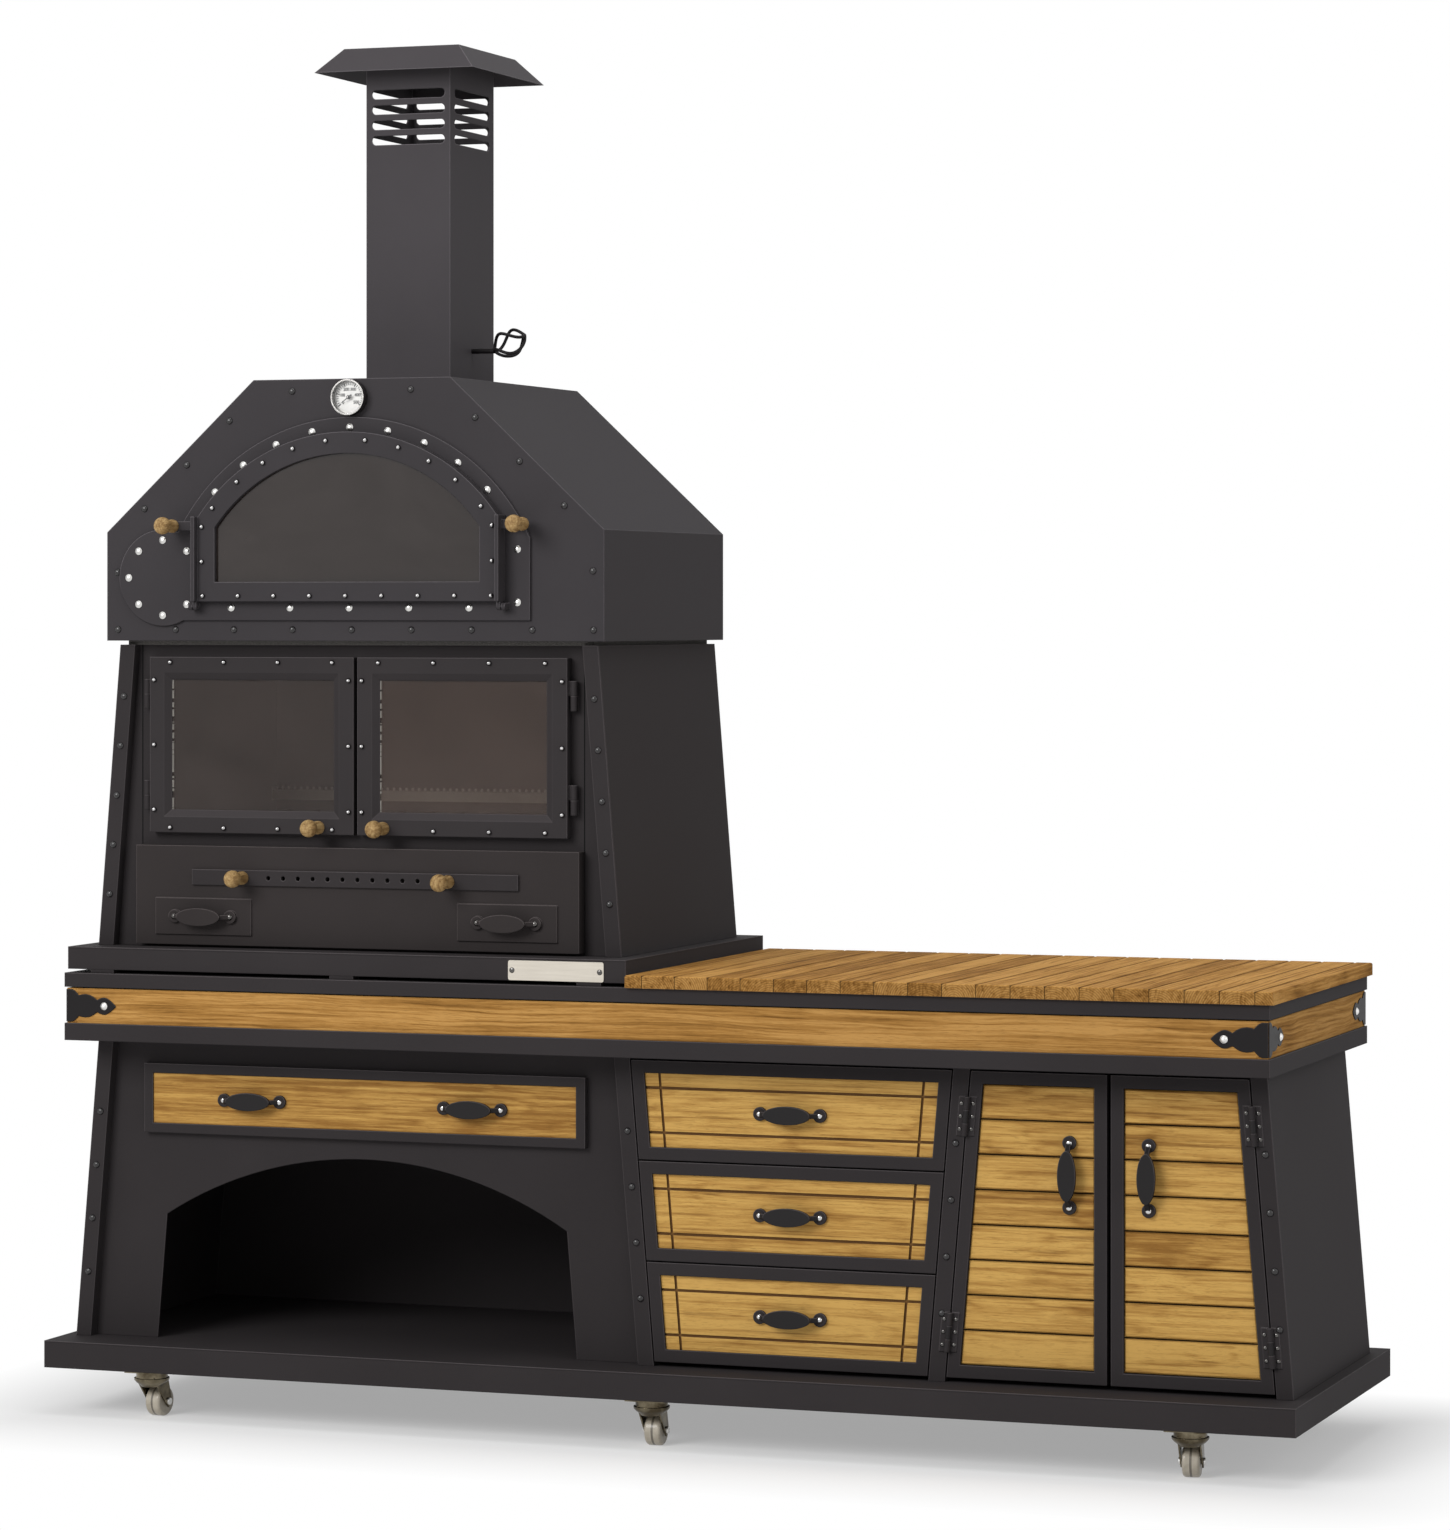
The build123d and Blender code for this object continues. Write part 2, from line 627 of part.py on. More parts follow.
def drawers():
    """Drawers between the two battered units, each on a pair of shelf runners."""
    low = Z_DECK + OPENING_SILL
    high = Z_RAIL - OPENING_HEAD
    tall = (high - low - FACE_GAP * (DRAWER_COUNT - 1)) / DRAWER_COUNT
    left = shift(LEFT_INNER, FACE_GAP)
    right = shift(RIGHT_INNER, -FACE_GAP)
    y1 = BASE_BACK - SHEET
    runners = []
    for number in range(1, DRAWER_COUNT + 1):
        z1 = high - (number - 1) * (tall + FACE_GAP)
        z0 = z1 - tall
        front = BASE_FRONT
        back = front + DRAWER_FRONT_T
        frame = frame_between(left, right, z0, z1, front, back, DRAWER_FRAME)
        panel_back = front + PANEL_SET + PANEL_T
        opening = [shift(left, DRAWER_FRAME), shift(right, -DRAWER_FRAME)]
        opening += [z0 + DRAWER_FRAME, z1 - DRAWER_FRAME]
        frame += between(*opening, panel_back, back)
        box_low = z0 + DRAWER_BOX_DROP
        half = DRAWER_BOX_W / 2
        x0 = X_DRAWERS - half
        x1 = X_DRAWERS + half
        box_high = box_low + DRAWER_BOX_H
        frame += open_tray(x0, x1, back, back + DRAWER_BOX_DEPTH, box_low, box_high, DRAWER_WALL)
        face = front + PANEL_SET
        panel = grooved_panel(*opening, face)
        grip = pull(X_DRAWERS, face, (z0 + z1) / 2)
        save(f"drawer_{number}_box", frame, grip)
        save(f"drawer_{number}_panel", panel)
        under = box_low - RUNNER_T
        runners.append(between(LEFT_INNER, lambda z: x0 + RUNNER_LAP, under, box_low, back + RUN_GAP, y1))
        runners.append(between(lambda z: x1 - RUNNER_LAP, RIGHT_INNER, under, box_low, back + RUN_GAP, y1))
    return runners


def door_hinge(edge, side, z_low, face):
    """Butt hinge along a sloping edge: the post's leaf with its pin, and the door's leaf."""
    run = edge(z_low + HINGE_LENGTH) - edge(z_low)
    foot = Vector(edge(z_low), face - HINGE_BARREL_R, z_low)
    along = Vector(run, 0, HINGE_LENGTH).normalized()
    third = HINGE_LENGTH / 3

    def knuckle(start, stop, radius):
        a = foot + along * start
        b = foot + along * stop
        return rod((a.X, a.Y, a.Z), (b.X, b.Y, b.Z), radius)

    high = z_low + HINGE_LENGTH
    post_leaf = between(edge, shift(edge, side * HINGE_LEAF_W), z_low, high, face - HINGE_LEAF_T, face)
    door_leaf = between(shift(edge, -side * HINGE_LEAF_W), edge, z_low, high, face - HINGE_LEAF_T, face)
    length = (edge(high) - edge(z_low))**2 + HINGE_LENGTH**2
    length = math.sqrt(length)
    room = HINGE_BARREL_R + TURN_GAP
    post_leaf -= knuckle(third - TURN_GAP, 2 * third + TURN_GAP, room)
    door_leaf -= knuckle(-third, third, room)
    door_leaf -= knuckle(2 * third, length + third, room)
    post_leaf += knuckle(0, third - TURN_GAP, HINGE_BARREL_R)
    post_leaf += knuckle(2 * third + TURN_GAP, length, HINGE_BARREL_R)
    post_leaf += knuckle(0, length, HINGE_PIN_R)
    door_leaf += knuckle(third, 2 * third, HINGE_BARREL_R)
    door_leaf -= knuckle(0, length, HINGE_PIN_R + PIN_FIT)
    return post_leaf, door_leaf


def cupboard_doors():
    """Two plank doors with steel frames, hung on the battered posts."""
    low = Z_DECK + OPENING_SILL
    high = Z_RAIL - OPENING_HEAD
    meet = DOOR_MEETING_GAP / 2
    post_leaves = []
    sides = (("left", RIGHT_INNER, 1), ("right", RIGHT_OUTER, -1))
    for name, outer, inward in sides:
        jamb = shift(outer, inward * STRIP_W)
        hung = shift(jamb, inward * FACE_GAP)
        meeting = lambda z, x=X_RIGHT - inward * meet: x
        edge_a, edge_b = (hung, meeting) if inward > 0 else (meeting, hung)
        front = BASE_FRONT
        back = front + DOOR_T
        frame = frame_between(edge_a, edge_b, low, high, front, back, DOOR_FRAME)
        slat_a = shift(edge_a, DOOR_FRAME)
        slat_b = shift(edge_b, -DOOR_FRAME)
        face = front + SLAT_SET
        slat_back = face + SLAT_T
        frame += between(slat_a, slat_b, low + DOOR_FRAME, high - DOOR_FRAME, slat_back, slat_back + SHEET)
        pitch = (high - low - 2 * DOOR_FRAME) / SLAT_COUNT
        slats = []
        for row in range(SLAT_COUNT):
            z0 = low + DOOR_FRAME + row * pitch + SLAT_GAP / 2
            z1 = z0 + pitch - SLAT_GAP
            slat = between(slat_a, slat_b, z0, z1, face, slat_back)
            slats.append(chamfer(slat.edges().group_by(Axis.Y)[0], SLAT_BEVEL))
        hinge_line = shift(jamb, inward * FACE_GAP / 2)
        leaves = []
        for z_low in (low + HINGE_END, high - HINGE_END - HINGE_LENGTH):
            post_leaf, door_leaf = door_hinge(hinge_line, -inward, z_low, front)
            post_leaves.append(post_leaf)
            leaves.append(door_leaf)
        stile = X_RIGHT - inward * (meet + DOOR_FRAME + DOOR_PULL_IN)
        grip = pull(stile, face, (low + high) / 2 + DOOR_PULL_UP, turn=90)
        save(f"{name}_door_frame", frame, grip, *leaves)
        save(f"{name}_door_slats", *slats)
    return post_leaves


def corner_strips(post_leaves):
    """Riveted corner angles of the base units and of the oven stand, with the posts' hinge leaves."""
    strips = []
    for edge, inward, depth in (
        (LEFT_OUTER, 1, LOG_RECESS),
        (LEFT_INNER, -1, LOG_RECESS),
        (RIGHT_INNER, 1, CUPBOARD_RETURN),
        (RIGHT_OUTER, -1, CUPBOARD_RETURN),
    ):
        strips.append(angle_strip(edge, inward, Z_DECK, Z_RAIL, BASE_FRONT, depth))
    for edge, inward in ((STAND_LEFT, 1), (STAND_RIGHT, -1)):
        strips.append(angle_strip(edge, inward, Z_STAND, Z_SEAL, STAND_FRONT, STAND_RECESS))
    save("corner_strips", *strips, *post_leaves)


def hollow_ring(half_x, half_y, width, z0, z1):
    """Rail of folded sheet round the top: a face with two flanges turned inwards."""
    ring = block(-half_x, half_x, -half_y, half_y, z0, z1)
    in_x = half_x - width
    in_y = half_y - width
    ring -= block(-in_x, in_x, -in_y, in_y, z0, z1)
    in_x = half_x - SHEET
    in_y = half_y - SHEET
    return ring - block(-in_x, in_x, -in_y, in_y, z0 + SHEET, z1 - SHEET)


def worktop():
    """Steel rails with a wooden band between them, and the planks on top."""
    half_x = RAIL_LENGTH / 2
    half_y = RAIL_DEPTH / 2
    lower = hollow_ring(half_x, half_y, LOWER_RIM_W, Z_RAIL, Z_BAND)
    foot = block(-half_x, half_x, -half_y, half_y, Z_RAIL, Z_RAIL + SHEET)
    foot_x = half_x - LOWER_FLANGE_W
    foot_y = half_y - LOWER_FLANGE_W
    foot -= block(-foot_x, foot_x, -foot_y, foot_y, Z_RAIL, Z_RAIL + SHEET)
    save("lower_rail", lower + foot)

    upper = hollow_ring(half_x, half_y, UPPER_RAIL_W, Z_UPPER, Z_TOP)
    inside_x = half_x - UPPER_RAIL_W
    bearer = UPPER_RAIL_W / 2
    upper += block(-inside_x, inside_x, -bearer, bearer, Z_TOP - SHEET, Z_TOP)
    for y in (-bearer, bearer - SHEET):
        upper += block(-inside_x, inside_x, y, y + SHEET, Z_UPPER, Z_TOP)
    skirt = BOARD_SET + BOARD_T
    core = block(skirt - half_x, half_x - skirt, skirt - half_y, half_y - skirt, Z_BAND, Z_UPPER)
    skirt += SHEET
    core -= block(skirt - half_x, half_x - skirt, skirt - half_y, half_y - skirt, Z_BAND, Z_UPPER)
    save("upper_rail", upper + core)

    out_x = half_x - BOARD_SET
    out_y = half_y - BOARD_SET
    high = Z_UPPER - BOARD_GAP
    boards = []
    for side in (-1, 1):
        near = side * out_y
        far = side * (out_y - BOARD_T)
        boards.append(block(-out_x, out_x, min(near, far), max(near, far), Z_BAND, high))
        near = side * out_x
        far = side * (out_x - BOARD_T)
        end = out_y - BOARD_T
        boards.append(block(min(near, far), max(near, far), -end, end, Z_BAND, high))
    save("band_boards", *boards)

    widths = [PLANK_END_W] + [PLANK_W] * PLANK_COUNT + [PLANK_END_W]
    x = PLANK_START
    planks = []
    for width in widths:
        plank = block(x, x + width - PLANK_GAP, -PLANK_DEPTH / 2, PLANK_DEPTH / 2, Z_TOP, Z_TOP + PLANK_T)
        planks.append(fillet(plank.edges().group_by(Axis.Z)[-1], PLANK_ROUND))
        x += width
    save("worktop_planks", *planks)


STAND_LEFT = lean(X_LEFT - STAND_TOP_HALF, -STAND_BATTER, Z_SEAL, Z_STAND)
STAND_RIGHT = lean(X_LEFT + STAND_TOP_HALF, STAND_BATTER, Z_SEAL, Z_STAND)


def oven_tray():
    """Tray that the oven stands on, on low feet over the upper rail."""
    x0 = X_LEFT - TRAY_LENGTH / 2
    x1 = X_LEFT + TRAY_LENGTH / 2
    half_y = TRAY_DEPTH / 2
    plates = skirted_deck(x0, x1, half_y, Z_TRAY, Z_STAND)
    feet = []
    inset = TRAY_FOOT_W
    for side in (-1, 1):
        near = min(side * half_y, side * (half_y - TRAY_FOOT_W / 2))
        for x in (x0 + inset, X_LEFT - TRAY_FOOT_W / 2, x1 - inset - TRAY_FOOT_W):
            feet.append(block(x, x + TRAY_FOOT_W, near, near + TRAY_FOOT_W / 2, Z_TOP, Z_TRAY))
    save("oven_tray", *plates, *feet)


def stand():
    """Battered stand under the oven: sides, back and top, and the recessed front."""
    y0 = STAND_FRONT + SHEET
    y1 = STAND_BACK - SHEET
    left_in = shift(STAND_LEFT, SHEET)
    right_in = shift(STAND_RIGHT, -SHEET)
    panels = [between(STAND_LEFT, left_in, Z_STAND, Z_SEAL, y0, y1)]
    panels.append(between(right_in, STAND_RIGHT, Z_STAND, Z_SEAL, y0, y1))
    panels.append(between(STAND_LEFT, STAND_RIGHT, Z_STAND, Z_SEAL, y1, STAND_BACK))
    flue = STAND_FLUE_W / 2
    middle = (STAND_FACE + y1) / 2
    near = middle - STAND_FLUE_D / 2
    far = middle + STAND_FLUE_D / 2
    top = (Z_SEAL - SHEET, Z_SEAL)
    panels.append(between(left_in, right_in, *top, STAND_FACE + SHEET, near))
    panels.append(between(left_in, right_in, *top, far, y1))
    panels.append(between(left_in, lambda z: X_LEFT - flue, *top, near, far))
    panels.append(between(lambda z: X_LEFT + flue, right_in, *top, near, far))
    save("stand_panels", *panels)

    front = between(left_in, right_in, Z_STAND, Z_SEAL, STAND_FACE, STAND_FACE + SHEET)
    fire = (Z_STAND + FIRE_LOW, Z_STAND + FIRE_HIGH)
    front -= block(X_LEFT - FIRE_HALF, X_LEFT + FIRE_HALF, STAND_FACE, STAND_FACE + SHEET, *fire)
    ash_half = ASH_BOX_HALF + FACE_GAP
    z0, z1 = ash_box_heights()
    front -= block(X_LEFT - ash_half, X_LEFT + ash_half, STAND_FACE, STAND_FACE + SHEET, z0, z1 + FACE_GAP)
    for side in (-1, 1):
        for z in fire_hinge_heights():
            front += fire_hinge_fixed(side, z)
    save("stand_front", front)

    seal_x = STAND_TOP_HALF - SEAL_INSET
    seal_y0 = STAND_FRONT + SEAL_INSET
    seal_y1 = STAND_BACK - SEAL_INSET
    seal = block(X_LEFT - seal_x, X_LEFT + seal_x, seal_y0, seal_y1, Z_SEAL, Z_HOOD)
    seal_x -= SEAL_W
    seal -= block(X_LEFT - seal_x, X_LEFT + seal_x, seal_y0 + SEAL_W, seal_y1 - SEAL_W, Z_SEAL, Z_HOOD)
    save("hood_seal", seal)


def ash_box_heights():
    """Lower and upper edge of the ash drawer's box, which slides on the tray."""
    low = Z_STAND
    return low, low + ASH_FRONT_LOW + ASH_FRONT_H - ASH_BOX_MARGIN


def fire_hinge_axis(side):
    """Place of a fire door's hinge axis in plan."""
    x = X_LEFT + side * (FIRE_DOOR_W + FIRE_DOOR_GAP / 2 + FIRE_HINGE_OUT)
    return x, STAND_FACE - RUN_GAP - FIRE_DOOR_T / 2


def fire_hinge_heights():
    """Lower ends of a fire door's two hinges."""
    low = Z_STAND + FIRE_DOOR_LOW
    return low + FIRE_HINGE_END, low + FIRE_DOOR_H - FIRE_HINGE_END - FIRE_HINGE_H


def fire_hinge_fixed(side, z):
    """Lower hinge knuckle on the stand, with its pin."""
    x, y = fire_hinge_axis(side)
    half = FIRE_HINGE_H / 2
    barrel = rod((x, y, z), (x, y, z + half), FIRE_HINGE_R)
    pin = rod((x, y, z + half), (x, y, z + FIRE_HINGE_H), FIRE_HINGE_PIN_R)
    web = block(x - FIRE_HINGE_R / 2, x + FIRE_HINGE_R / 2, y, STAND_FACE, z, z + half)
    return barrel + pin + web


def fire_hinge_moving(side, z):
    """Upper hinge knuckle on a fire door."""
    x, y = fire_hinge_axis(side)
    low = z + FIRE_HINGE_H / 2 + TURN_GAP
    high = z + FIRE_HINGE_H
    barrel = rod((x, y, low), (x, y, high), FIRE_HINGE_R)
    end = x - side * FIRE_HINGE_OUT
    web = block(min(x, end), max(x, end), y - FIRE_HINGE_R / 2, y + FIRE_HINGE_R / 2, low, high)
    return barrel + web - rod((x, y, low), (x, y, high), FIRE_HINGE_PIN_R + PIN_FIT)


def fire_doors():
    """Two glazed doors of the firebox, with turned knobs by the meeting edge."""
    low = Z_STAND + FIRE_DOOR_LOW
    high = low + FIRE_DOOR_H
    back = STAND_FACE - RUN_GAP
    front = back - FIRE_DOOR_T
    rim = FIRE_DOOR_FRAME
    for name, side in (("left", -1), ("right", 1)):
        meeting = X_LEFT + side * FIRE_DOOR_GAP / 2
        hung = meeting + side * FIRE_DOOR_W
        x0 = min(meeting, hung)
        x1 = max(meeting, hung)
        frame = block(x0, x1, front, back, low, high)
        frame -= block(x0 + rim, x1 - rim, front, back, low + rim, high - rim)
        centre = Pos((x0 + x1) / 2, (low + high) / 2)
        clear_w = x1 - x0 - 2 * rim
        clear_h = high - low - 2 * rim
        splay = 2 * FRAME_BEVEL
        wide = Plane.XZ.offset(-front) * centre * Rectangle(clear_w + splay, clear_h + splay)
        narrow = Plane.XZ.offset(-front - FRAME_BEVEL_DEPTH) * centre * Rectangle(clear_w, clear_h)
        frame -= loft([wide, narrow])
        pane_front = front + GLASS_SET
        lap = rim - GLASS_LAP
        frame -= block(x0 + lap, x1 - lap, pane_front, back, low + lap, high - lap)
        for z in fire_hinge_heights():
            frame += fire_hinge_moving(side, z)
        glass = block(x0 + lap, x1 - lap, pane_front, pane_front + GLASS_T, low + lap, high - lap)
        x_knob = X_LEFT + FIRE_KNOB_SHIFT + side * FIRE_KNOB_OFF
        save(f"fire_door_{name}_frame", frame)
        save(f"fire_door_{name}_glass", glass)
        save(f"fire_door_{name}_knob", knob(x_knob, front, low + FIRE_KNOB_UP))


def firebox():
    """Liner of the fire, open to the front and to the hood, with its grate and rear air bar."""
    y0 = STAND_FACE + SHEET
    y1 = y0 + FIRE_DEPTH
    low = Z_STAND + FIRE_LOW - FIRE_WALL
    high = Z_SEAL - SHEET
    half = FIRE_HALF + FIRE_WALL
    liner = block(X_LEFT - half, X_LEFT + half, y0, y1, low, high)
    liner -= block(X_LEFT - FIRE_HALF, X_LEFT + FIRE_HALF, y0, y1 - FIRE_WALL, low + FIRE_WALL, high)
    ash_gap = FIRE_HALF - GRATE_SIDE
    slot_y0 = y0 + GRATE_END
    slot_y1 = y1 - GRATE_END
    liner -= block(X_LEFT - ash_gap, X_LEFT + ash_gap, slot_y0, slot_y1, low, low + FIRE_WALL)
    seat = low + FIRE_WALL
    reach = GRATE_BAR_W
    grate = block(X_LEFT - ash_gap - reach, X_LEFT + ash_gap + reach, slot_y0 - reach, slot_y1 + reach,
                  seat, seat + GRATE_BAR_H)
    pitch = 2 * ash_gap / GRATE_BARS
    for index in range(GRATE_BARS):
        x = X_LEFT - ash_gap + (index + 0.5) * pitch
        gap = (pitch - GRATE_BAR_W) / 2
        grate -= block(x - gap, x + gap, slot_y0, slot_y1, seat, seat + GRATE_BAR_H)
    y_bar = y1 - FIRE_WALL
    z_bar = seat + AIR_BAR_UP
    air_bar = block(X_LEFT - FIRE_HALF, X_LEFT + FIRE_HALF, y_bar - AIR_BAR_T, y_bar, z_bar, z_bar + AIR_BAR_H)
    save("firebox", liner, grate, air_bar)


def ash_drawer():
    """Ash drawer with its handle plates and pulls, and the air slide that hangs on its knobs' bolts."""
    back = STAND_FACE - RUN_GAP
    front = back - ASH_FRONT_T
    low = Z_STAND + ASH_FRONT_LOW
    body = block(X_LEFT - ASH_FRONT_HALF, X_LEFT + ASH_FRONT_HALF, front, back, low, low + ASH_FRONT_H)
    z0, z1 = ash_box_heights()
    x0 = X_LEFT - ASH_BOX_HALF
    x1 = X_LEFT + ASH_BOX_HALF
    body += block(x0, x1, back - SHEET, back, z0, low)
    body -= block(x0 + DRAWER_WALL, x1 - DRAWER_WALL, front + SHEET, back, low + SHEET, z1)
    end = back + ASH_BOX_DEPTH
    floor = z0 + DRAWER_WALL
    box = [block(x0, x1, back, end, z0, floor)]
    box += [block(x, x + DRAWER_WALL, back, end, floor, z1) for x in (x0, x1 - DRAWER_WALL)]
    box.append(block(x0 + DRAWER_WALL, x1 - DRAWER_WALL, end - DRAWER_WALL, end, floor, z1))
    slide_low = low + AIR_SLIDE_UP
    slide_high = slide_low + AIR_SLIDE_H
    half = AIR_SLIDE_LENGTH / 2
    slide_back = front - TURN_GAP
    slide_front = slide_back - AIR_SLIDE_T
    slide = block(X_LEFT - half, X_LEFT + half, slide_front, slide_back, slide_low, slide_high)
    z_hole = (slide_low + slide_high) / 2
    for index in range(AIR_HOLES):
        x = X_LEFT + AIR_HOLE_SHIFT + (index - (AIR_HOLES - 1) / 2) * AIR_HOLE_PITCH
        hole = rod((x, slide_front, z_hole), (x, back, z_hole), AIR_HOLE_R)
        slide -= hole
        body -= hole
    inner = front + SHEET
    washer = inner + TURN_GAP
    room = AIR_BOLT_R + RUN_GAP
    knobs = []
    for side in (-1, 1):
        x = X_LEFT + AIR_KNOB_SHIFT + side * AIR_KNOB_OFF
        slide += rod((x, slide_back, z_hole), (x, washer, z_hole), AIR_BOLT_R)
        slide += rod((x, washer, z_hole), (x, washer + AIR_WASHER_T, z_hole), AIR_WASHER_R)
        body -= block(x, x + AIR_TRAVEL, front, inner, z_hole - room, z_hole + room)
        for stop in (x, x + AIR_TRAVEL):
            body -= rod((stop, front, z_hole), (stop, inner, z_hole), room)
        knobs.append(knob(x, slide_front, z_hole))
    plates = []
    pulls = []
    for side in (-1, 1):
        x = X_LEFT + side * ASH_PLATE_OFF
        z = low + ASH_PLATE_UP
        half = ASH_PLATE_W / 2
        plates.append(block(x - half, x + half, front - ASH_PLATE_T, front, z, z + ASH_PLATE_H))
        pulls.append(pull(x, front - ASH_PLATE_T, z + ASH_PLATE_H / 2))
    save("ash_drawer", body, *box, *plates, *pulls)
    save("air_slide", slide)
    save("air_slide_knobs", *knobs)


def hood():
    """Folded hood over the oven, with its mouth, flue hole and floor."""
    profile = [(-HOOD_HALF, 0), (-HOOD_HALF, HOOD_SIDE_H), (-HOOD_TOP_HALF, HOOD_HEIGHT)]
    profile += [(HOOD_TOP_HALF, HOOD_HEIGHT), (HOOD_HALF, HOOD_SIDE_H), (HOOD_HALF, 0)]
    outer = upright([(X_LEFT + x, Z_HOOD + z) for x, z in profile], HOOD_FRONT, HOOD_BACK)
    slope = math.atan2(HOOD_HEIGHT - HOOD_SIDE_H, HOOD_HALF - HOOD_TOP_HALF)
    knee = SHEET * math.tan((math.pi / 2 - slope) / 2)
    brow = SHEET * math.tan(slope / 2)
    inside = [(SHEET - HOOD_HALF, SHEET), (SHEET - HOOD_HALF, HOOD_SIDE_H - knee)]
    inside += [(brow - HOOD_TOP_HALF, HOOD_HEIGHT - SHEET)]
    inside += [(-x, z) for x, z in reversed(inside)]
    hollow = upright([(X_LEFT + x, Z_HOOD + z) for x, z in inside], HOOD_FRONT + SHEET, HOOD_BACK - SHEET)
    shell = outer - hollow
    shell -= arch_plate(MOUTH_HALF, MOUTH_R, Z_HOOD + MOUTH_SILL, HOOD_FRONT, HOOD_FRONT + SHEET)
    half_w = FLUE_W / 2 - FLUE_WALL
    half_d = FLUE_D / 2 - FLUE_WALL
    shell -= block(X_LEFT - half_w, X_LEFT + half_w, FLUE_Y - half_d, FLUE_Y + half_d, Z_FLUE - SHEET, Z_FLUE)
    flue = STAND_FLUE_W / 2
    middle = (STAND_FACE + STAND_BACK - SHEET) / 2
    deep = STAND_FLUE_D / 2
    shell -= block(X_LEFT - flue, X_LEFT + flue, middle - deep, middle + deep, Z_HOOD, Z_HOOD + SHEET)
    z_dial = Z_FLUE - DIAL_DROP
    hole = rod((X_LEFT, HOOD_FRONT, z_dial), (X_LEFT, HOOD_FRONT + SHEET, z_dial), PROBE_R)
    save("hood_shell", shell - hole)


def oven_pivot():
    """Height and depth of the oven door's pivot."""
    return Z_HOOD + OVEN_PIVOT_UP, HOOD_FRONT - SURROUND_T - OVEN_PIVOT_OUT


def oven_surround():
    """Arched face plate round the oven mouth, with the lugs and pins of the drop door."""
    y0 = HOOD_FRONT - SURROUND_T
    plate = arch_plate(SURROUND_HALF, SURROUND_R, Z_HOOD + SURROUND_SILL, y0, HOOD_FRONT)
    lobe_x = X_LEFT - LOBE_OFF
    lobe_z = Z_HOOD + LOBE_UP
    plate += rod((lobe_x, y0, lobe_z), (lobe_x, HOOD_FRONT, lobe_z), LOBE_R)
    plate -= arch_plate(MOUTH_HALF, MOUTH_R, Z_HOOD + MOUTH_SILL, y0, HOOD_FRONT)
    z, y = oven_pivot()
    near = OVEN_DOOR_HALF + BAR_T + LUG_GAP
    far = near + LUG_T
    for side in (-1, 1):
        x0 = X_LEFT + side * near
        x1 = X_LEFT + side * far
        lug = rod((x0, y, z), (x1, y, z), OVEN_PIVOT_R)
        lug += block(min(x0, x1), max(x0, x1), y, y0, z - OVEN_PIVOT_R, z + OVEN_PIVOT_R)
        pin_end = X_LEFT + side * (OVEN_DOOR_HALF + TURN_GAP)
        plate += lug + rod((pin_end, y, z), (x1, y, z), OVEN_PIN_R)
    save("oven_surround", plate)


def oven_chamber():
    """Arched baking chamber inside the hood, on two bearers, with its stone floor."""
    y0 = HOOD_FRONT + SHEET
    y1 = y0 + CHAMBER_DEPTH
    sill = Z_HOOD + MOUTH_SILL - STONE_T
    inner = arch_plate(MOUTH_HALF + CHAMBER_SIDE, MOUTH_R + CHAMBER_SIDE, sill, y0, y1 - SHEET)
    skin = CHAMBER_SIDE + SHEET
    vault = arch_plate(MOUTH_HALF + skin, MOUTH_R + skin, sill - SHEET, y0, y1) - inner
    for side in (-1, 1):
        x0 = X_LEFT + side * (STAND_FLUE_W / 2 + CHAMBER_LEG_GAP)
        x1 = x0 + side * CHAMBER_LEG_W
        vault += block(min(x0, x1), max(x0, x1), y0 + SHEET, y1, Z_HOOD + SHEET, sill - SHEET)
    half = MOUTH_HALF + CHAMBER_SIDE - STONE_CLEAR
    stone_back = y1 - SHEET - STONE_CLEAR
    stone = block(X_LEFT - half, X_LEFT + half, y0 + STONE_CLEAR, stone_back, sill, sill + STONE_T)
    save("oven_chamber", vault)
    save("oven_floor", stone)


def oven_door():
    """Arched drop door: glazed frame, side bars on the pivots, arms and knobs."""
    back = HOOD_FRONT - SURROUND_T - RUN_GAP
    front = back - OVEN_DOOR_T
    frame = arch_plate(OVEN_DOOR_HALF, OVEN_DOOR_R, Z_HOOD + OVEN_DOOR_SILL, front, back)
    frame -= arch_plate(OVEN_GLASS_HALF, OVEN_GLASS_R, Z_HOOD + OVEN_GLASS_SILL, front, back)
    pane = front + GLASS_SET
    half = OVEN_GLASS_HALF + GLASS_LAP
    radius = OVEN_GLASS_R + GLASS_LAP
    sill = Z_HOOD + OVEN_GLASS_SILL - GLASS_LAP
    frame -= arch_plate(half, radius, sill, pane, back)
    glass = arch_plate(half, radius, sill, pane, pane + GLASS_T)
    z, y = oven_pivot()
    top = z + BAR_H
    knobs = []
    for side in (-1, 1):
        x0 = X_LEFT + side * OVEN_DOOR_HALF
        x1 = x0 + side * BAR_T
        low_x = min(x0, x1)
        reach = back - BAR_DEPTH
        bar = block(low_x, low_x + BAR_T, reach, back, Z_HOOD + OVEN_DOOR_SILL, top)
        bar += block(low_x, low_x + BAR_T, y - OVEN_PIVOT_R, y + OVEN_PIVOT_R, z, top)
        bar += rod((low_x, y, z), (low_x + BAR_T, y, z), OVEN_PIVOT_R)
        bar -= rod((low_x, y, z), (low_x + BAR_T, y, z), OVEN_PIN_R + PIN_FIT)
        tip = x1 + side * ARM_LENGTH
        arm_low = top - ARM_DROP - ARM_H / 2
        bar += block(min(x1, tip), max(x1, tip), front, front + ARM_T, arm_low, arm_low + ARM_H)
        frame += bar
        knobs.append(knob(tip - side * ARM_H / 2, front, arm_low + ARM_H / 2))
    save("oven_door_frame", frame)
    save("oven_door_glass", glass)
    save("oven_door_knobs", *knobs)


